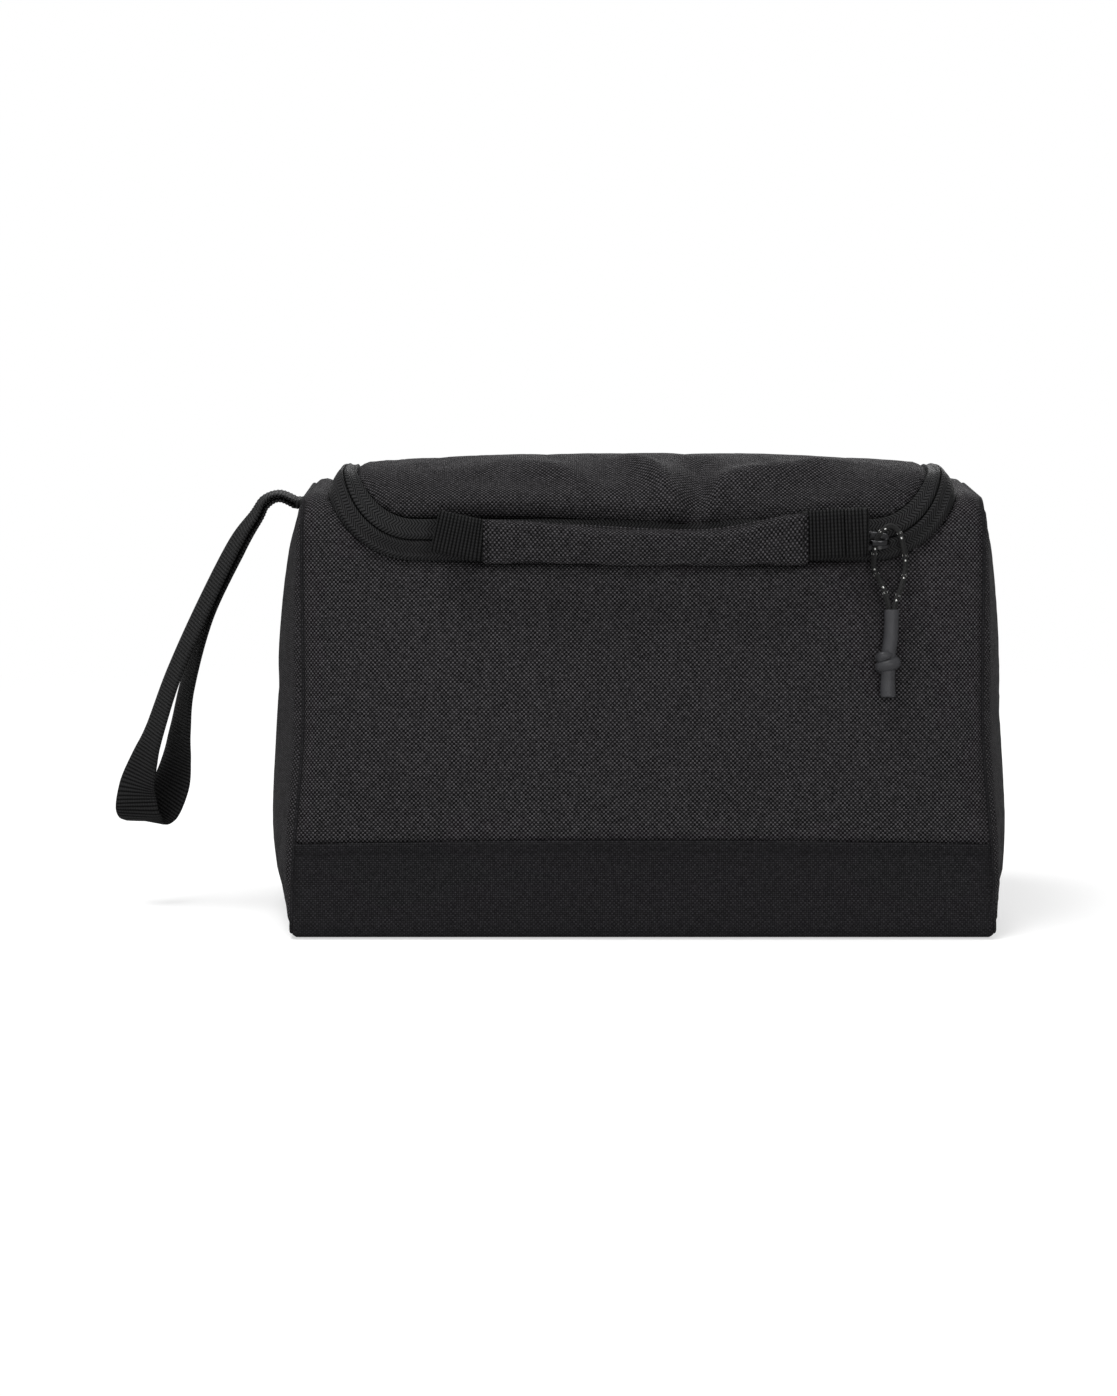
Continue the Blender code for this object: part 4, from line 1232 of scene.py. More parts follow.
@dataclass
class Shell:
    """Outer skins of the bag's body: front, back, base band and both sides."""

    step: float = 0.0028
    tuck: float = 0.0011
    tuck_width: float = 0.0030
    tuck_from: float = 0.001
    tuck_full: float = 0.012
    tuck_rows: tuple[float, ...] = (0.0006, 0.0013, 0.0021, 0.0030)
    hem_rows: tuple[float, ...] = (0.0005, 0.0011, 0.0018, 0.0025)
    side_tuck_width: float = 0.0048
    sewn: float = 0.0070
    free: float = 0.0140
    zip_groove: float = 0.0016
    zip_groove_width: float = 0.0045
    hem_groove: float = 0.0009
    hem_groove_width: float = 0.0024
    side_rim: float = 0.0008
    fold_size: float = 0.0009
    swell: Swell = Swell()
    side_swell: Swell = Swell(pressure=2.0, slack=0.003, cap=0.0022)
    front_folds: tuple[Fold, ...] = (
        Fold((0.112, 0.150), (0.094, 0.215), 0.010, -0.0011),
        Fold((0.070, 0.222), (0.030, 0.160), 0.020, -0.0007),
        Fold((-0.118, 0.140), (-0.100, 0.205), 0.012, -0.0009),
        Fold((-0.050, 0.200), (-0.010, 0.150), 0.024, 0.0006),
        Fold((0.121, 0.120), (0.117, 0.180), 0.006, 0.0008),
    )
    hem_profile: tuple[Flat, ...] = (
        (0.0003, -0.0009), (0.0007, 0.0001), (0.0006, 0.0009), (0.0001, 0.0013), (-0.0007, 0.0011),
        (-0.0020, 0.0005), (-0.0034, 0.0002), (-0.0040, -0.0006), (-0.0010, -0.0010))

    def edge_tuck(self, x: float, s: float) -> float:
        """Dip of the skin into the side seam, not under the base."""
        near = 1 - ease(0.0, self.tuck_width, BLOCK.side - abs(x))
        return -self.tuck * near * ease(self.tuck_from, self.tuck_full, BLOCK.section(s)[0].y)

    def xs(self, count: int) -> list[float]:
        """Even places from one side seam to the other."""
        return [float(x) for x in np.linspace(-BLOCK.side, BLOCK.side, count)]

    def hem_lines(self, line: Sequence[Flat]) -> list[float]:
        """Lines beside a band seam, so that the dip above it is round."""
        way = 1 if line[0][1] < BLOCK.s_top else -1
        return [line[len(line) // 2][1] + way * d for d in self.hem_rows]

    def skin(self, layer: Layer, outline: Sequence[Flat], folds: Sequence[Fold] = (),
             hem: Sequence[Flat] = (), zip_edge: Sequence[Flat] = ()) -> None:
        """One padded outer panel; one with a hem is swelled by the cloth solver.

        Args:
            layer: what the panel is made of.
            outline: pattern outline.
            folds: soft folds.
            hem: pattern line of the band's seam, where the skin dips.
            zip_edge: pattern line of the zip, where it dips too.
        """
        seams = [sign * (BLOCK.side - d) for d in self.tuck_rows for _, sign in SIDES]
        patch = Patch(outline, self.step, seams, self.hem_lines(hem) if hem else ())
        laid = patch.lay(lambda x, s: BLOCK.wrap(x, s, folds_at(folds, x, s) + self.edge_tuck(x, s)))
        if hem:
            laid = self.swell.run(laid, patch.faces, fading(patch.from_rim(), self.sewn, self.free))
        for line, deep, wide in ((zip_edge, self.zip_groove, self.zip_groove_width),
                                 (hem, self.hem_groove, self.hem_groove_width)):
            if line:
                laid = patch.dip(laid, deep * fading(distance_to(patch.flat, np.array(line)), 0.0, wide))
        layer.sew(patch, laid, kind="skin")

    def sides(self) -> None:
        """Both bulged side panels."""
        outline = [(p.y, p.z) for p in BLOCK.ring(240, -self.side_rim)]
        for label, sign in SIDES:
            patch, laid = side_patch(outline, self.step, sign, BLOCK.half + BLOCK.seam_gap + BLOCK.fabric)
            away = patch.from_rim()
            laid = self.side_swell.run(laid, patch.faces, fading(away, self.sewn, self.free))
            laid[:, 0] -= sign * 2 * self.tuck * fading(away, 0.0, self.side_tuck_width)
            outer(f"{label}_side_panel", 0.5).sew(patch, laid, kind="skin")

    def hems(self) -> None:
        """Folded upper edge of the base band on the front and the back."""
        for label, seam, way in (("front", BLOCK.s_band, 1), ("back", BLOCK.s_band_back, -1)):
            rings, uv = [], []
            for x in self.xs(181):
                spots = [(seam + way * (d - BLOCK.bow(x)), n) for d, n in self.hem_profile]
                rings.append([BLOCK.wrap(x, s, n + self.edge_tuck(x, s))[:] for s, n in spots])
                uv += [(x, s) for s, _ in spots]
            settle(joined(f"{label}_band_hem", [(*sweep(rings), uv)], BAND), Body.BODY, "base_fabric")

    def seam_folds(self) -> None:
        """Turned-in cloth that closes both side seams, drawn in the darker base-band cloth so that the seam
        shows as a dark line: painted shade.
        """
        count, around = 300, 10
        for label, sign in SIDES:
            rings, uv = [], []
            for s in (BLOCK.round * k / count for k in range(count)):
                spots = [(BLOCK.wrap(BLOCK.half, s, self.fold_size * (up - 1.5)), self.fold_size * out)
                         for out, up in turns(around)]
                rings.append([(sign * (spot.x + out), spot.y, spot.z) for spot, out in spots])
                uv += [(s, self.fold_size * math.tau * m / around) for m in range(around)]
            # The fold takes the darker base-band cloth, not the outer cloth: a painted shade line along the
            # seam.
            piece = joined(f"{label}_seam_fold", [(*sweep(rings, closed=True), uv)], BAND)
            settle(piece, Body.BODY, "base_fabric")

    def build(self) -> None:
        """Make every outer skin of the body."""
        side, xs = BLOCK.side, self.xs(41)
        end = BLOCK.s_hinge - BLOCK.seam_gap
        hem = [(x, BLOCK.s_band - BLOCK.bow(x)) for x in xs]
        edge = BLOCK.u_path(0.0, 14)
        self.skin(outer("front_panel"), hem + [(side, end)] + edge[::-1] + [(-side, end)],
                  self.front_folds, hem, edge)
        low = [(x, BLOCK.s_band_back - BLOCK.seam_gap + BLOCK.bow(x)) for x in xs]
        self.skin(outer("back_panel"), [(side, BLOCK.s_hinge), (-side, BLOCK.s_hinge)] + low, hem=low)
        base = [(x, BLOCK.s_band_back - BLOCK.round + BLOCK.bow(x)) for x in xs]
        base += [(x, BLOCK.s_band - BLOCK.seam_gap - BLOCK.bow(x)) for x in reversed(xs)]
        self.skin(Layer("base_panel", "base_fabric", BAND, BLOCK.fabric, 0.6), base)
        self.sides()
        self.hems()
        self.seam_folds()


@dataclass
class Lid:
    """Domed lid: skin, foam and lining. Folds are (x, distance above the lid's front edge)."""

    step: float = 0.0021
    layer_step: float = 0.005
    sewn: float = 0.004
    free: float = 0.012
    swell: Swell = Swell(pressure=2.0, slack=0.003, cap=0.0022)
    groove: float = 0.0018
    groove_width: float = 0.0036
    sag: float = 0.0028
    sag_x: float = 0.018
    sag_width: float = 0.048
    sag_reach: float = 0.016
    rim: float = 0.0035
    foam_share: float = 1.50
    lining_share: float = 1.30
    foam_short: float = 0.0260
    lining_short: float = 0.0037
    foam_deep: float = 0.0020
    lining_deep: float = 0.0044
    lining_flat: Flat = (0.222, 0.125)
    folds: tuple[Fold, ...] = (
        Fold((0.0205, -0.008), (-0.0040, 0.028), 0.0046, 0.0036),
        Fold((0.0205, -0.006), (0.0300, 0.012), 0.0034, 0.0034),
        Fold((0.0270, 0.0105), (0.0560, 0.0165), 0.0038, 0.0036),
        Fold((0.0520, 0.016), (0.0800, 0.025), 0.0045, 0.0026),
        Fold((0.0236, -0.002), (0.0200, 0.030), 0.0058, -0.0042),
        Fold((0.0340, 0.002), (0.0800, 0.011), 0.0050, -0.0022),
        Fold((-0.0900, 0.004), (0.0160, 0.004), 0.0042, 0.0026),
        Fold((0.0300, 0.004), (0.0850, 0.005), 0.0042, 0.0020),
        Fold((-0.0800, 0.013), (0.0000, 0.013), 0.0045, -0.0018),
        Fold((-0.0040, 0.003), (-0.0460, 0.023), 0.0040, 0.0016),
    )

    @property
    def front(self) -> float:
        """Pattern place of the lid's front edge."""
        return BLOCK.s_zip + BLOCK.spread_front / 2

    def place(self, x: float, s: float, n: float = 0.0) -> Vector:
        """Point n above the smooth lid, with the sag of its front lip."""
        drop = self.sag * math.exp(-((x - self.sag_x) / self.sag_width) ** 2)
        drop *= 1 - ease(0.0, self.sag_reach, s - self.front)
        return BLOCK.wrap(x, s - drop, BLOCK.lid_rise(x, s) + n)

    def fold(self, x: float, s: float) -> float:
        """Height of the creases at a pattern point, none at the rim."""
        up = s - self.front
        return folds_at(self.folds, x, up) * ease(0.0, self.rim, up)

    def skin(self) -> None:
        """Creased outer cloth."""
        edge = BLOCK.u_path(1.0, 14)
        patch = Patch(edge, self.step)
        laid = patch.lay(self.place)
        laid = self.swell.run(laid, patch.faces, fading(patch.from_rim(), self.sewn, self.free))
        dip = fading(distance_to(patch.flat, np.array(edge)), 0.0, self.groove_width)
        creased = np.array([self.fold(float(x), float(s)) for x, s in patch.flat])
        laid = patch.dip(laid, self.groove * dip - creased)
        rows = np.linspace(self.front, BLOCK.s_hinge, 80)
        run = runs(rows_of([self.place(0.0, float(s)) for s in rows]))
        uv = np.column_stack([patch.flat[:, 0], np.interp(patch.flat[:, 1], rows, run)])
        outer("lid_panel", 0.7).sew(patch, laid, Body.LID, "skin", uv)

    def under(self, layer: Layer, share: float, short: float, deep: float) -> tuple[Object, float]:
        """One layer under the skin.

        Args:
            layer: what it is made of.
            share: how far inside the zip's U its edge runs.
            short: how far before the hinge it ends.
            deep: depth of its outer face below the skin.

        Returns:
            The piece and its area.
        """
        end = BLOCK.s_hinge - short
        outline = [p for p in BLOCK.u_path(share, 14) if p[1] < end]
        for last in (0, -1):
            outline[last] = (outline[last][0], end)
        patch = Patch(outline, self.layer_step)
        laid = patch.lay(lambda x, s: self.place(x, s, min(0.0, self.fold(x, s)) - deep))
        return layer.sew(patch, laid, Body.LID), patch.area(laid)

    def build(self) -> None:
        """Make the lid's layers."""
        self.skin()
        self.under(foam("lid_padding"), self.foam_share, self.foam_short, self.foam_deep)
        cloth, area = self.under(lining("lid_lining"), self.lining_share, self.lining_short,
                                 self.lining_deep)
        self.lining_flat


@dataclass
class Zip:
    """Both tapes of the U-shaped zip with their coils."""

    tape: float = 0.0008
    edge: float = 0.02
    middle: float = 0.486
    crown: float = 0.0006
    proud: float = 0.0012
    bead: float = 0.00035
    slot: float = 0.0006
    roll: float = 0.0014
    welt: float = 0.0042
    welt_end: float = 0.010
    flap: float = 0.0012
    columns: int = 19
    coil_off: float = 0.11
    coil_drop: float = 0.0014
    coil_pitch: float = 0.0013
    coil_size: tuple[float, float, float] = (0.0020, 0.0030, 0.0022)

    def lift(self, share: float, side: float) -> float:
        """Relief of the tape: a crown, a bead over the coil, a rolled edge and the sides' welt."""
        off = abs(share - 0.5)
        n = side * self.welt * ease(-0.03, 0.22, share) * (1 - ease(0.35, 1.0, share))
        n += self.crown * (1 - 4 * off * off) + self.bead * math.exp(-((off - 0.12) / 0.055) ** 2)
        n -= self.slot * math.exp(-((off - 0.5 + self.middle) / 0.012) ** 2)
        n += self.proud * ease(0.30, 0.42, 0.5 - share)
        return n - self.roll * (1 - ease(0.0, 0.05, 0.5 - off)) ** 2

    def height(self, share: float, high: float, s: float) -> float:
        """Height of the tape above the block, from the lid's edge height and its pattern place."""
        side = ease(0.25, 1.0, (s - BLOCK.s_zip) / BLOCK.zip_corner)
        side *= 1 - ease(-self.welt_end, 0.1 * self.welt_end, s - BLOCK.s_hinge)
        return high * max(0.0, share) - BLOCK.tape_sink + self.lift(share, side)

    def weave(self, name: str, shares: Sequence[float], tuck: Flat, rise: Sequence[float]) -> Object:
        """Woven tape of one side.

        Args:
            name: the piece's name.
            shares: places of its columns across the zip.
            tuck: shares between which its edge turns down.
            rise: height of the lid's edge along the U.

        Returns:
            The linked object.
        """
        routes = [BLOCK.u_path(share) for share in shares]
        run = runs(np.array(routes[7]))
        across = [share * BLOCK.spread_front for share in shares]
        rings, uv = [], []
        for k, high in enumerate(rise):
            spots = [(*route[k], self.height(share, high, route[k][1]) - self.flap * ease(*tuck, share))
                     for share, route in zip(shares, routes)]
            rings.append([BLOCK.wrap(*spot)[:] for spot in spots]
                         + [BLOCK.wrap(x, s, n - self.tape)[:] for x, s, n in reversed(spots)])
            uv += [(run[k], v) for v in across + across[::-1]]
        return joined(name, [(*sweep(rings), uv)], TAPE)

    def build(self) -> None:
        """Make the tapes and coils."""
        coil = Repeater(Shape.COIL)
        rise = [BLOCK.lid_rise(x, s) for x, s in BLOCK.u_path(1.0)]
        low = np.linspace(-0.03, self.middle, self.columns).tolist() + [0.500, 0.520]
        high = (1 - np.linspace(self.edge, self.middle, self.columns)[::-1]).tolist() + [1.02, 1.06, 1.12]
        for body, shares, tuck, share, bend in (
                (Body.BODY, low, (self.middle, 0.50), 0.5 - self.coil_off, None),
                (Body.LID, high, (0.98, 1.06), 0.5 + self.coil_off, lid_bend())):
            tape = self.weave(f"zip_tape_{body.value}_weave", shares, tuck, rise)
            settle(tape, body, "zip_tape", f"zip_tape_{body.value}", bend=bend)
            route = BLOCK.u_path(share)
            tops = [self.height(share, top, s) for (_, s), top in zip(route, rise)]
            line = [BLOCK.wrap(*p, n - self.tape - self.coil_drop) for p, n in zip(route, tops)]
            outs = [BLOCK.wrap(*p, n + 0.001) - q for p, n, q in zip(route, tops, line)]
            wire = coil.run(f"zip_coil_{body.value}_wire", [(rows_of(line), rows_of(outs))],
                            self.coil_pitch, self.coil_size, COIL)
            settle(wire, body, "zip_coil", f"zip_coil_{body.value}", bend=bend)


@dataclass
class Slider:
    """Zip slider: two plates, a post and the bridge that carries the cord."""

    x: float = 0.0880
    length: float = 0.0090
    width: float = 0.0080
    plate: float = 0.0014
    top_gap: float = 0.0008
    low_gap: float = 0.0032
    soft: float = 0.0004
    bridge_width: float = 0.0022
    bridge_thick: float = 0.0014
    bridge_room: float = 0.0028
    bridge_inset: float = 0.0010
    bridge_sink: float = 0.0006
    bridge_bow: float = 0.0002
    square: float = 0.42
    post: tuple[Flat, ...] = ((0.0016, 0.0), (0.0, 0.00042), (-0.0014, 0.0), (0.0, -0.00042))

    def outline(self, margin: float) -> list[Flat]:
        """Plate outline with one narrower end, drawn in by a margin."""
        ring = []
        for c, s in turns(36):
            u = boxed(c, self.square) * (self.length / 2 - margin)
            taper = 0.90 - 0.10 * math.sin(math.pi * u / self.length)
            ring.append((u, boxed(s, self.square) * (self.width / 2 - margin) * taper))
        return ring

    def loft(self, layers: Sequence[tuple[float, Sequence[Flat]]]) -> tuple[np.ndarray, Faces]:
        """Body through outlines at heights."""
        return sweep([[BLOCK.at_zip(self.x + u, v, w)[:] for u, v in ring] for w, ring in layers])

    def bridge(self, top: float) -> tuple[np.ndarray, Faces]:
        """Bar on two legs above the top plate."""
        bar = top + self.bridge_room + self.bridge_thick / 2
        half = self.length / 2 - self.bridge_inset
        leg = [(half, top - self.bridge_sink), (half, top + 0.0010), (half - 0.0003, bar - 0.0011),
               (half - 0.0014, bar - 0.0001)]
        route = [(-u, w) for u, w in leg] + [(0.0, bar + self.bridge_bow)] + leg[::-1]
        line = smooth_route([Vector((u, w, 0)) for u, w in route], 6)
        rings = []
        for at, way in zip(line, headings(line)):
            side = Vector((-way.y, way.x, 0))
            spots = [(at + side * (boxed(s, 0.6) * self.bridge_thick / 2),
                      boxed(c, 0.6) * self.bridge_width / 2) for c, s in turns(14)]
            rings.append([BLOCK.at_zip(self.x + spot.x, across, spot.y)[:] for spot, across in spots])
        return sweep(rings)

    def build(self) -> None:
        """Make the slider."""
        gap, top, low, soft = self.top_gap, self.top_gap + self.plate, -self.low_gap, self.soft
        upper = ((gap, soft), (gap + soft / 2, soft / 4), (gap + soft, 0.0), (top - soft, 0.0),
                 (top - soft / 3, soft / 3), (top, soft * 1.2))
        lower = ((low - self.plate, soft), (low - self.plate + soft, 0.0), (low - soft, 0.0), (low, soft))
        plates = [self.loft([(w, self.outline(margin)) for w, margin in plate]) for plate in (upper, lower)]
        post = self.loft([(w, self.post) for w in (low - soft, top - soft)])
        piece = joined("zip_slider_cast", [*plates, post, self.bridge(top)], METAL)
        settle(piece, Body.SLIDER, "slider", "zip_slider")


@dataclass
class Pull:
    """Cord loop of the slider with its rubber sleeve."""

    slider: Slider
    diameter: float = 0.0020
    in_sleeve: float = 0.0050
    neck: float = 0.0010
    arch: float = 0.0062
    spread: float = 0.0105
    low: float = 0.0105
    sleeve_width: float = 0.0056
    sleeve_depth: float = 0.0040
    sleeve_wall: float = 0.0005
    sleeve_bore: float = 0.0070
    beside: float = 0.0050
    drop: float = 0.0260
    length: float = 0.0325
    off: float = 0.0066
    lean: float = -0.0014
    tail_lean: float = 0.95
    knot_at: float = 0.60
    knot_turns: float = 1.6
    knot_across: float = 0.0027
    knot_deep: float = 0.0017
    knot_rise: float = 0.0027
    knot_tube: float = 0.0023
    stops: tuple[tuple[float, float, float], ...] = (
        (0.0, 1.0, 0.0), (0.16, 0.97, 0.0), (0.34, 1.0, 0.25), (0.46, 0.98, 0.7), (0.60, 0.95, 1.0),
        (0.74, 0.97, 1.0), (0.80, 0.96, 1.05), (0.90, 1.0, 1.05), (1.0, 1.03, 0.95))

    @cached_property
    def top(self) -> float:
        """Height of the sleeve's upper end."""
        return BLOCK.height - BLOCK.zip_drop - self.drop

    def route(self) -> list[Vector]:
        """Points of the cord, from the sleeve over the slider's bridge and back."""
        x = self.slider.x
        strand = self.diameter / 2 + BLOCK.seam_gap / 2
        w = self.slider.top_gap + self.slider.plate + self.slider.bridge_room / 2
        middle = x + self.beside
        at, on = BLOCK.at_zip, BLOCK.on_front
        wide, low, arch = self.spread, self.low, self.arch
        return smooth_route([
            on(middle - strand, self.top - self.in_sleeve, self.off),
            on(middle - strand, self.top + self.neck, self.off),
            on(x + wide * 0.19, self.top + self.drop * 0.30, self.off),
            at(x - wide * 0.10, -low, w * 0.83),
            at(x - wide * 0.12, -low * 0.48, w),
            at(x - wide * 0.06, 0.0, w),
            at(x + wide * 0.11, arch * 0.60, w),
            at(x + wide * 0.44, arch, w),
            at(x + wide * 0.76, arch * 0.58, w),
            at(x + wide * 0.95, -low * 0.30, w),
            at(x + wide, -low, w * 0.94),
            on(x + wide * 0.84, self.top + self.drop * 0.34, self.off),
            on(middle + strand, self.top + self.neck, self.off),
            on(middle + strand, self.top - self.in_sleeve, self.off),
        ], 14)

    def cord(self, line: Sequence[Vector], run: np.ndarray) -> Object:
        """Braided tube along a line with the distances along it."""
        rings, uv = [], []
        side = Vector((0, 0, 1))
        around = 12
        for at, way, far in zip(line, headings(line), run):
            side = side - way * side.dot(way)
            side = side.normalized() if side.length > 1e-6 else way.orthogonal().normalized()
            up = way.cross(side)
            rings.append([(at + (side * c + up * s) * self.diameter / 2)[:] for c, s in turns(around)])
            uv += [(far, m / around) for m in range(around)]
        return joined("pull_cord_braid", [(*sweep(rings), uv)], CORD)

    def ring(self, share: float, scale: float, wall: float = 0.0, lean: float = 0.0) -> list:
        """Oval ring round the sleeve's axis, at a share of its length."""
        middle = BLOCK.on_front(self.slider.x + self.beside + self.lean * lean,
                                self.top - self.length * share, self.off)
        height = self.top - self.length / 2
        out = BLOCK.section(BLOCK.find_s(height, BLOCK.starts[FRONT], BLOCK.s_top))[1]
        across, deep = ((size / 2 - wall) * scale for size in (self.sleeve_width, self.sleeve_depth))
        return [(middle + Vector((across * c, 0, 0)) + Vector((0, out.x, out.y)) * (deep * s))[:]
                for c, s in turns(28)]

    def knot(self) -> tuple[np.ndarray, Faces]:
        """Tube wound round itself between the sleeve's neck and its tail."""
        middle = Vector(np.mean(self.ring(self.knot_at, 1.0, lean=1.0), axis=0))
        rings = []
        last = 63
        for t in (k / last for k in range(last + 1)):
            turn = math.pi * 1.5 - math.tau * self.knot_turns * t
            tucked = ease(0.0, 0.14, t) * (1 - ease(0.86, 1.0, t))
            arm = Vector((math.cos(turn) * self.knot_across, -math.sin(turn) * self.knot_deep, 0.0))
            at = middle + arm * (0.25 + 0.75 * tucked) + Vector((0, 0, self.knot_rise * (2 * t - 1)))
            wide, high = arm.normalized() * (self.knot_tube * 0.9), Vector((0, 0, self.knot_tube))
            rings.append([(at + (wide * c + high * s) * (0.7 + 0.3 * tucked))[:] for c, s in turns(14)])
        return sweep(rings)

    def sleeve(self) -> Object:
        """Rubber sleeve with an open mouth, a tied knot and a short open tail."""
        wall, tail = self.sleeve_wall, self.tail_lean
        rings = [self.ring(self.sleeve_bore / self.length, 0.96, wall), self.ring(0.01, 0.98, wall),
                 self.ring(0.0, 0.98, wall / 2), self.ring(0.006, 1.0)]
        places, scales, leans = zip(*self.stops)
        for share in np.linspace(0.02, 1.0, 56).tolist():
            scale, lean = (float(np.interp(share, places, values)) for values in (scales, leans))
            rings.append(self.ring(share, scale, lean=lean))
        rings += [self.ring(1.004, 0.96, wall / 2, tail), self.ring(1.0, 0.96, wall, tail),
                  self.ring(0.90, 0.90, wall, tail)]
        return joined("pull_sleeve_rubber", [sweep(rings), self.knot()], RUBBER)

    def build(self) -> None:
        """Make the cord and the sleeve."""
        line = self.route()
        run = runs(rows_of(line))
        cord, sleeve = self.cord(line, run), self.sleeve()
        settle(cord, Body.PULL, "cord", "pull_cord")
        settle(sleeve, Body.PULL, "sleeve", "pull_sleeve")
        tuple(line[0])
        self.diameter
        [tuple(p) for p in line]


@dataclass(frozen=True)
class Band:
    """Woven band with cross ribs, swept along a line."""

    width: float = 0.0200
    thick: float = 0.0014
    pitch: float = 0.00135
    relief: float = 0.00030
    thin_edge: float = 0.45

    def sweep(self, line: np.ndarray, wides: np.ndarray, shares: np.ndarray | None = None) -> tuple:
        """Ribbed band along a line.

        Args:
            line: rows of x, y, z and the distance along the line.
            wides: direction of the width, one for all rows or one for each.
            shares: share of the full width at each row, where it is gathered.

        Returns:
            Points, faces and pattern coordinates.
        """
        rings, uv = [], []
        ways = np.gradient(line[:, :3], axis=0)
        wides = np.broadcast_to(wides, ways.shape)
        shares = np.ones(len(line)) if shares is None else shares
        for row, way, wide, share in zip(line, ways, wides, shares):
            way = way / np.linalg.norm(way)
            wide = wide - way * (wide @ way)
            wide = wide / np.linalg.norm(wide)
            out = np.cross(way, wide)
            rib = math.cos(math.tau * row[3] / self.pitch)
            upper, lower, uv_row = [], [], []
            for spot in np.linspace(-1.0, 1.0, 11):
                flank = 1 - abs(spot) ** 10
                deep = self.thick / 2 * (self.thin_edge + (1 - self.thin_edge) * flank)
                deep += self.relief / 2 * rib * flank
                across = wide * self.width * share / 2 * spot
                upper.append(row[:3] + across + out * deep)
                lower.append(row[:3] + across - out * deep)
                uv_row.append((row[3], spot * self.width / 2))
            rings.append(upper + lower[::-1])
            uv += uv_row + uv_row[::-1]
        return *sweep(rings), uv


@dataclass
class Handle:
    """Webbing strip in front of the zip with a padded cloth grip."""

    band: Band = Band(width=0.0160)
    left: float = -0.0780
    right: float = 0.0825
    stand_off: float = 0.0086
    top: float = 0.0098
    grip_left: float = -0.0600
    grip_right: float = 0.0615
    grip_foam: float = 0.0020
    grip_margin: float = 0.0008
    end_bend: float = 0.0010
    lift_left: float = 0.0036
    lift_right: float = 0.0011
    end_rise: float = 0.0020
    end_wide: float = 0.15
    dip: float = 0.0046
    dip_low: float = 0.0011
    dip_at: float = 0.020
    dip_width: float = 0.060
    rise_right: float = 0.0046
    grip_low: float = 0.0004
    grip_back: float = 0.0009
    grip_crown: float = 0.0007
    grip_cloth: float = 0.0006
    grip_puff: float = 0.0008
    grip_sewn: float = 0.0040
    grip_free: float = 0.0100
    pad_inset: float = 0.0020
    pad_low: float = 0.0032
    pad_edge: float = 0.0006
    gather: float = 0.30
    gather_run: float = 0.012
    tab_length: float = 0.0120
    tab_inset: float = 0.0006
    tab_drop: float = 0.0013
    tab_root: float = -0.0022
    tab_thick: float = 0.0011
    tab_step: float = 0.0004
    fold: float = 0.0070
    fold_turn: float = 0.0009
    fold_press: float = 0.0004
    stitch_space: float = 0.0024
    stitch_inset: float = 0.0016
    stitch_proud: float = 0.0001
    stitch_size: tuple[float, float, float] = (0.0018, 0.0006, 0.0006)
    around: int = 44
    columns: int = 72
    swell: Swell = Swell(pressure=2.0, slack=0.006, cap=0.0010)

    def end_share(self, u: float) -> float:
        """0 on the grip, rising to 1 at either end of the strap; negative on the left."""
        if u < self.grip_left:
            return -(self.grip_left - u) / (self.grip_left - self.left)
        return max(0.0, (u - self.grip_right) / (self.right - self.grip_right))

    def dipped(self, u: float) -> float:
        """Share of the grip's sag, most a little right of its middle."""
        return math.exp(-((u - self.dip_at) / self.dip_width) ** 2)

    def inside(self, u: float) -> float:
        """0 at the grip's ends and beyond, 1 well inside it."""
        return (ease(self.grip_left, self.grip_left + self.gather_run, u)
                * (1 - ease(self.grip_right - self.gather_run, self.grip_right, u)))

    def middle(self, u: float) -> Flat:
        """Height and stand-off of the strap's middle line."""
        t = self.end_share(u)
        inside = self.inside(u)
        lift = (self.lift_left if t < 0 else self.lift_right) * abs(t) ** 1.2
        lift += self.end_rise * (1 - inside) if u > 0 else 0.0
        v = self.top - self.band.width / 2 + lift - (self.dip + self.dip_low) / 2 * self.dipped(u) * inside
        return v, self.stand_off + self.band.thick / 2 - self.end_bend * t * t

    def tab(self, u: float) -> tuple:
        """Short strip from the lid's lip to the back of the strap."""
        high = self.top - self.tab_drop
        back = self.middle(u)[1] - self.band.thick / 2 - self.tab_thick / 2
        route = [(high, self.tab_root), (high + 0.0002, back * 0.5), (high - 0.0004, back - 0.0004),
                 (high - 0.0026, back), (high - 0.0055, back)]
        line = smooth_route([BLOCK.at_zip(u, v, w) for v, w in route], 10)
        slim = Band(width=self.tab_length, thick=self.tab_thick)
        return slim.sweep(resample(rows_of(line), self.tab_step), np.array([1.0, 0.0, 0.0]))

    def strap(self) -> None:
        """Webbing with its folded right end and the two tabs that hang it from the lid."""
        spots = [(u, *self.middle(u)) for u in np.linspace(self.left, self.right, 90).tolist()]
        u_end, v_end, w_end = spots[-1]
        shares = [k / 8 for k in range(1, 9)]
        for turn in (math.pi * share for share in shares):
            spots.append((u_end + self.fold_turn * math.sin(turn), v_end,
                          w_end + self.fold_turn * (1 - math.cos(turn))))
        for share in shares:
            u = u_end - self.fold * share
            v, w = self.middle(u)
            spots.append((u, v, w + 2 * self.fold_turn - self.fold_press * ease(0.6, 1.0, share)))
        line = resample(rows_of([BLOCK.at_zip(*spot) for spot in spots]), self.band.pitch / 4)
        inside = np.array([self.inside(float(u)) for u in line[:, 0]])
        widths = 1 - self.gather * inside + self.end_wide * (1 - inside) * (line[:, 0] > 0)
        strap = self.band.sweep(line, -np.array(BLOCK.zip_axes[1]), widths)
        inset = self.tab_inset + self.tab_length / 2
        tabs = [self.tab(u) for u in (self.left + inset, self.right - inset)]
        piece = joined("handle_strap_webbing", [strap, *tabs], WEBBING)
        root, tip = (BLOCK.at_zip(0.0, self.top - self.tab_drop, w)
                     for w in (self.tab_root, self.stand_off - self.tab_thick))
        settle(piece, Body.HANDLE, "webbing", "handle_strap", bend=Bend(Body.LID, root, tip))

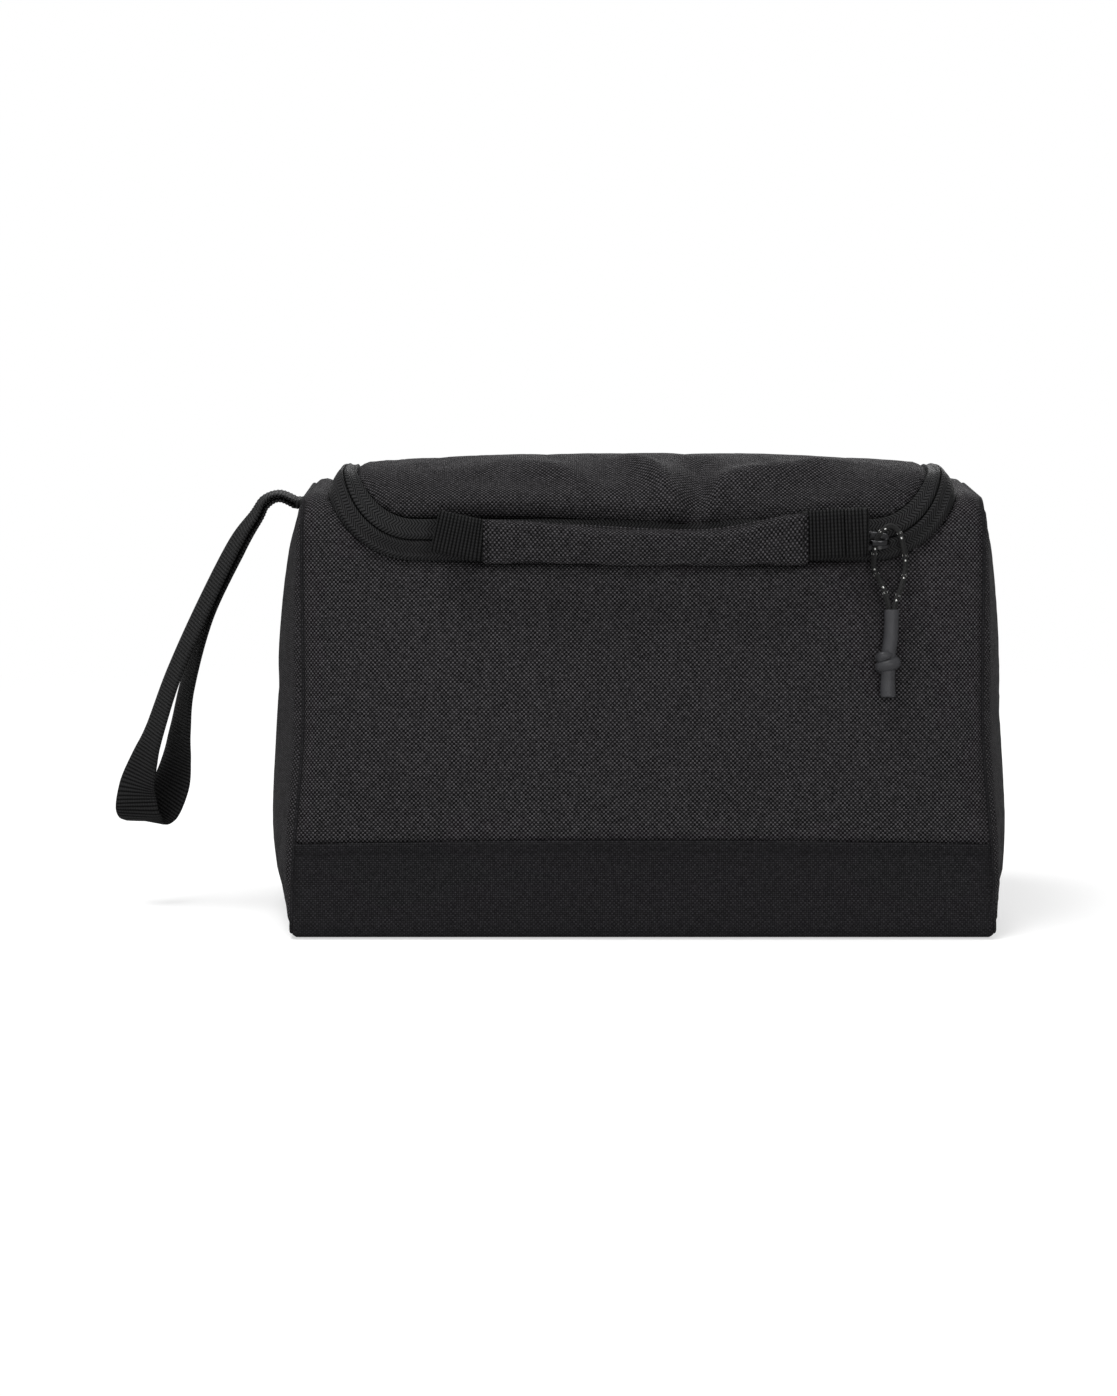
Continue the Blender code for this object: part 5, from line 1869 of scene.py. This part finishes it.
    def grip_ring(self, u: float) -> list:
        """Padded oblong round the strap and its foam."""
        t = (u - self.grip_left) / (self.grip_right - self.grip_left)
        plump = math.sin(math.pi * min(1.0, max(0.0, t))) ** 0.25
        high = self.top + self.grip_margin - self.dip * self.dipped(u)
        high += self.rise_right * ease(self.dip_at, self.grip_right, u)
        low = self.top - self.band.width - self.grip_low - self.dip_low * self.dipped(u)
        back = self.stand_off - self.grip_back
        front = self.stand_off + self.band.thick + self.grip_cloth
        front += (self.grip_foam + self.grip_puff) * plump
        ring = []
        for c, s in turns(self.around):
            v = (high + low) / 2 + boxed(c, 0.28) * (high - low) / 2
            w = (front + back) / 2 + boxed(s, 0.55) * (front - back) / 2
            ring.append(BLOCK.at_zip(u, v, w + self.grip_crown * plump * max(0.0, s) * (1 - c * c))[:])
        return ring

    def grip(self) -> np.ndarray:
        """Cloth sleeve of the grip; its rings of points are returned for the stitches."""
        us = np.linspace(self.grip_left, self.grip_right, self.columns)
        points, faces = sweep([self.grip_ring(float(u)) for u in us])
        held = fading(np.minimum(us - us[0], us[-1] - us), self.grip_sewn, self.grip_free)
        held = np.repeat(held, self.around)
        behind = np.tile([1.0 if s < -0.2 else 0.0 for _, s in turns(self.around)], self.columns)
        outward = [face[::-1] for face in faces[:-2]]
        body = self.swell.run(points, outward, np.maximum(held, behind))
        body = body.reshape(self.columns, self.around, 3)
        uv = np.array([(u, girth) for u in us for girth in runs(body[self.columns // 2])])
        inner = body + (body.mean(axis=1, keepdims=True) - body) * np.array([0.05, 0.12, 0.06])
        tube = sweep(np.concatenate([body, inner[::-1]]), closed=True)
        piece = joined("handle_grip_cloth", [(*tube, np.vstack([uv, uv[::-1]]))], OUTER)
        settle(piece, Body.HANDLE, "outer_fabric", "handle_grip", fill=0.7)
        return body

    def stitches(self, body: np.ndarray) -> None:
        """Stitch lines at both ends of the grip's rings and across the webbing."""
        out = np.array(BLOCK.zip_axes[2])
        front = [k for k, (_, s) in enumerate(turns(self.around)) if s > 0.15]
        lines = [body[column, front] + out * self.stitch_proud for column in (1, self.columns - 2)]
        u = self.right - self.fold + self.stitch_inset
        v, w = self.middle(u)
        w += 2 * self.fold_turn + self.band.thick / 2 + self.stitch_proud
        reach = np.linspace(-0.44, 0.44, 12) * self.band.width
        lines.append(rows_of([BLOCK.at_zip(u, v + d, w) for d in reach]))
        thread = Repeater(Shape.STITCH).run(
            "handle_stitches", [(line, np.broadcast_to(out, line.shape)) for line in lines],
            self.stitch_space, self.stitch_size, THREAD)
        settle(thread, Body.HANDLE, "outer_fabric")

    def padding(self) -> None:
        """Foam between the strap and the grip's cloth."""
        foam = self.stand_off + self.band.thick + BLOCK.seam_gap
        middle = (self.grip_left + self.grip_right) / 2
        rings = []
        for margin, share in ((self.pad_edge, 0.0), (0.0, 0.25), (0.0, 0.75), (self.pad_edge, 1.0)):
            w = foam + self.grip_foam * share
            half_u = (self.grip_right - self.grip_left) / 2 - self.pad_inset - margin
            half_v = self.band.width / 2 - self.pad_low - margin
            spots = [(middle + boxed(c, 0.1) * half_u, boxed(s, 0.2) * half_v) for c, s in turns(48)]
            rings.append([BLOCK.at_zip(u, self.middle(u)[0] + v, w)[:] for u, v in spots])
        pad = joined("handle_padding_foam", [sweep(rings)], FOAM)
        settle(pad, Body.HANDLE, "foam", "handle_padding", fill=0.8)

    def build(self) -> None:
        """Make the strap, the grip, its foam and its stitches."""
        self.strap()
        self.stitches(self.grip())
        self.padding()


@dataclass
class HangLoop:
    """Folded webbing loop sewn into the left side, by which the bag hangs.

    The route's rows are shares of the reach, sway and fall, and the turn of the width in degrees.
    """

    band: Band = Band()
    stub: Band = Band(thick=0.0036)
    root_drop: float = 0.0070
    root_gap: float = 0.0026
    stub_in: float = 0.0024
    stub_step: float = 0.0004
    fall: float = 0.1245
    reach: float = 0.0630
    sway: float = 0.0050
    bend_reach: float = 0.0140
    route: tuple[tuple[float, float, float, float], ...] = (
        (0.0, 0.0, 0.008, 0), (-0.103, 0.0, 0.029, 2), (-0.198, 0.0, 0.010, 8),
        (-0.262, 0.0, -0.040, 12), (-0.385, 0.0, -0.133, 18), (-0.588, -0.2, -0.337, 20),
        (-0.766, -0.4, -0.538, 21), (-0.888, -0.6, -0.715, 25), (-0.950, -0.7, -0.803, 35),
        (-1.0, -0.8, -0.892, 48), (-1.0, -1.0, -0.964, 62), (-0.960, -0.2, -1.0, 68),
        (-0.889, 0.6, -0.972, 66), (-0.800, 0.8, -0.892, 50), (-0.758, 0.8, -0.803, 36),
        (-0.735, 0.6, -0.715, 27), (-0.690, 0.6, -0.578, 20), (-0.562, 0.4, -0.353, 19),
        (-0.356, 0.0, -0.143, 18), (-0.232, 0.0, -0.046, 12), (-0.178, 0.0, -0.006, 7),
        (-0.098, 0.0, 0.012, 2), (0.0, 0.0, -0.009, 0),
    )

    @cached_property
    def root(self) -> Vector:
        """Sewn end of the loop."""
        height = BLOCK.height - self.root_drop
        side = (BLOCK.half + BLOCK.seam_gap + BLOCK.fabric) * BLOCK.narrow(height)
        return Vector((-side - self.root_gap, 0, height))

    def build(self) -> None:
        """Make the loop and the stub that comes out of the seam."""
        line = smooth_route([self.root + Vector((x * self.reach, y * self.sway, z * self.fall))
                             for x, y, z, _ in self.route], 12)
        angles = smooth_route([Vector((math.radians(angle), 0, 0)) for *_, angle in self.route], 12)
        rows = resample(np.array([[*p, t.x] for p, t in zip(line, angles)]), self.band.pitch / 4)
        wides = np.array([(math.sin(t), -math.cos(t), 0.0) for t in rows[:, 3]])
        piece = joined("hang_loop_webbing", [self.band.sweep(rows[:, [0, 1, 2, 4]], wides)], WEBBING)
        settle(piece, Body.LOOP, "webbing", "hang_loop",
               bend=Bend(Body.BODY, self.root, self.root - Vector((self.bend_reach, 0, 0))))
        start = self.root + Vector((self.root_gap + self.stub_in, 0, 0))
        rows = resample(rows_of([start + (self.root - start) * k / 6 for k in range(7)]), self.stub_step)
        piece = joined("hang_loop_root", [self.stub.sweep(rows, np.array([0.0, -1.0, 0.0]))], WEBBING)
        settle(piece, Body.BODY, "webbing")


@dataclass
class Inside:
    """Foam, board, linings, bindings and the net pocket."""

    step: float = 0.0050
    pocket_half: float = 0.100
    pocket_low: float = 0.022
    pocket_high: float = 0.092
    pocket_stand: float = 0.0022
    pocket_hem: float = 0.008
    binding_width: float = 0.0080
    binding_thick: float = 0.0016
    side_gap: float = 0.0009
    side_flat: Flat = (0.122, 0.158)
    side_area: float = 0.0168
    foam_reach: float = 0.90
    centre_z: float = 0.074
    ripple: float = 0.0005

    @property
    def lining_top(self) -> float:
        """Depth of the lining's outer face below the skin."""
        return BLOCK.fabric + BLOCK.foam + 2 * BLOCK.seam_gap

    @property
    def under_lining(self) -> float:
        """Depth below the skin that is free of the lining."""
        return self.lining_top + BLOCK.lining + BLOCK.seam_gap

    @staticmethod
    def wave(x: float, s: float) -> float:
        """Share of a slack wave, from 0 to 1."""
        return (1 + math.sin(x * 210 + 2 * math.sin(s * 60)) * math.sin(s * 95)) / 2

    def layer(self, layer: Layer, outline: Sequence[Flat], top: float, ripple: float = 0.0) -> Object:
        """One layer at a depth below the skin, with slack waves that go inwards."""
        patch = Patch(outline, self.step)
        laid = patch.lay(lambda x, s: BLOCK.wrap(x, s, -top - ripple * self.wave(x, s)))
        return layer.sew(patch, laid)

    def side_layer(self, layer: Layer, sign: int, start: float, reach: float = 1.0) -> Object:
        """Foam or lining of one side, inside its panel, drawn in to a share of its reach."""
        outline = [(p.y * reach, self.centre_z + (p.z - self.centre_z) * reach)
                   for p in BLOCK.ring(120, -self.under_lining)]
        return layer.sew(*side_patch(outline, self.step, sign, BLOCK.half + start + layer.thick))

    def seam_binding(self, label: str, sign: int) -> None:
        """Bound seam allowance that stands inwards along one side seam."""
        deep = self.under_lining
        rings, uv = [], []
        count = 240
        for s in (BLOCK.round * k / count for k in range(count)):
            at, normal = BLOCK.section(s)
            ring = []
            for c, up in turns(14):
                x = BLOCK.half - deep - self.binding_thick / 2 * (1 - boxed(c, 0.6))
                depth = deep + self.binding_width / 2 * (1 - boxed(up, 0.4))
                spot = at + normal * (BLOCK.puff(BLOCK.half, s) - depth)
                ring.append((sign * BLOCK.across(x, spot.y), spot.x, spot.y))
                uv.append((s, depth))
            rings.append(ring)
        piece = joined(f"{label}_seam_binding_tape", [(*sweep(rings, closed=True), uv)], BINDING)
        settle(piece, Body.BODY, "webbing", f"{label}_seam_binding")

    def pocket(self) -> None:
        """Net pocket on the back lining with its bound top."""
        high, low = BLOCK.on_back(self.pocket_high), BLOCK.on_back(self.pocket_low)
        top = self.lining_top + BLOCK.lining + self.pocket_stand
        net = self.layer(Layer("mesh_pocket", "mesh", NET, BLOCK.lining),
                         box_outline(self.pocket_half, high, low), top)
        2 * self.pocket_half
        hem = box_outline(self.pocket_half, high - self.pocket_hem, high - BLOCK.seam_gap)
        binding = Layer("pocket_binding", "webbing", BINDING, BLOCK.lining + 2 * BLOCK.seam_gap)
        self.layer(binding, hem, top - BLOCK.seam_gap)

    def build(self) -> None:
        """Make every inner layer."""
        foam_top = BLOCK.fabric + BLOCK.seam_gap + BLOCK.foam_sink
        for name, low, high in (
                ("front_padding", BLOCK.s_band, BLOCK.s_foam_front - 2 * BLOCK.foam),
                ("back_padding", BLOCK.s_hinge + BLOCK.top_radius, BLOCK.s_band_back)):
            self.layer(foam(name), box_outline(BLOCK.half - BLOCK.edge_roll, low, high), foam_top)
        half = BLOCK.half - self.lining_top - BLOCK.lining
        low, high = BLOCK.s_hinge + BLOCK.foam - BLOCK.round, BLOCK.s_foam_front
        cloth = self.layer(lining("main_lining"), box_outline(half, low, high), self.lining_top, self.ripple)
        for label, sign in SIDES:
            self.side_layer(foam(f"{label}_padding"), sign, -BLOCK.seam_gap - BLOCK.foam, self.foam_reach)
            cloth = self.side_layer(lining(f"{label}_lining"), sign,
                                    -self.side_gap - BLOCK.foam - BLOCK.lining)
            self.side_flat
            self.side_area
            self.seam_binding(label, sign)
        self.pocket()
        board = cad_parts["base_board"].data.materials
        board.clear()
        board.append(paint(BOARD))


@dataclass
class Studio:
    """White floor, soft lights and the camera. Lamps are (name, place, size, power)."""

    eye: tuple[float, float, float] = (-0.0318, -1.5504, 0.3003)
    tilt: float = 8.0
    lens: float = 103.35
    sensor: float = 36.0
    floor_tone: float = 0.82
    floor_half: float = 6.0
    floor_z: float = -0.0002
    glow: float = 0.55
    near: float = 0.28
    far: float = 0.75
    ambient: float = 0.30
    aim: tuple[float, float, float] = (0.0, 0.0, 0.08)
    lamps: tuple[tuple, ...] = (
        ("top_softbox", (-0.40, -0.25, 1.60), (0.8, 0.6), 28.0),
        ("right_key", (0.50, -1.58, 0.72), (0.6, 0.5), 13.0),
        ("back_fill", (0.45, 1.70, 0.95), (1.2, 1.0), 26.0),
        ("left_fill", (-0.50, -1.55, 0.60), (0.9, 0.7), 8.0),
    )

    def floor(self) -> None:
        """Pale floor, white to the camera away from the bag, that keeps the bag's shadow."""
        kit = NodeKit(bpy.data.materials.new("floor_white"))
        away = kit.node("ShaderNodeVectorMath", {"operation": "LENGTH"}, {0: kit.place}, out=1)
        white = kit.node("ShaderNodeMapRange", {"interpolation_type": "SMOOTHSTEP"},
                         {0: away, 1: self.near, 2: self.far, 3: self.glow, 4: 1.0})
        tone = self.floor_tone
        kit.dress((tone, tone, tone, 1.0), 0.9, Specular_IOR_Level=0.1)
        mixed = kit.node("ShaderNodeMixShader", None, {0: kit.in_sight * white,
                                                       1: Sock(kit, kit.shader.outputs[0]),
                                                       2: kit.node("ShaderNodeEmission")})
        kit.feed(kit.tree.nodes["Material Output"].inputs, {0: mixed})
        half = self.floor_half
        corners = [(x, y, self.floor_z) for x, y in box_outline(half, -half, half)]
        make_piece("studio_floor", np.array(corners), [[0, 1, 2, 3]], None, kit.owner)

    def world(self) -> None:
        """White to the camera, soft grey light on the object."""
        world = bpy.data.worlds.new("studio_world")
        bpy.context.scene.world = world
        kit = NodeKit(world, "Background")
        level = kit.node("ShaderNodeMapRange", None,
                         {0: kit.in_sight, "To Min": self.ambient, "To Max": 1.0})
        kit.feed(kit.shader.inputs, {0: (1.0, 1.0, 1.0, 1.0), 1: level})

    def build(self) -> None:
        """Set the stage, the lights and the camera."""
        bpy.context.scene.view_settings.view_transform = "Standard"
        self.floor()
        self.world()
        for name, place, size, power in self.lamps:
            data = bpy.data.lights.new(name, "AREA")
            data.shape = "RECTANGLE"
            data.size, data.size_y = size
            data.energy = power
            lamp = link(name, data)
            lamp.location = place
            lamp.rotation_mode = "QUATERNION"
            lamp.rotation_quaternion = (Vector(self.aim) - Vector(place)).to_track_quat("-Z", "Y")
        data = bpy.data.cameras.new("photo_camera")
        data.lens = self.lens
        data.sensor_width = self.sensor
        camera = link("photo_camera", data)
        camera.location = self.eye
        camera.rotation_euler = (math.radians(90 - self.tilt), 0.0, 0.0)
        bpy.context.scene.camera = camera


def main() -> None:
    """Build every sub-assembly in order."""
    logging.basicConfig(level=logging.INFO, format="%(message)s")
    Studio().build()
    slider = Slider()
    for part in (Pull(slider), slider, Shell(), Lid(), Zip(), Handle(), HangLoop(), Inside()):
        part.build()
        LOG.info("built %s", type(part).__name__)


if __name__ == "__main__":
    main()
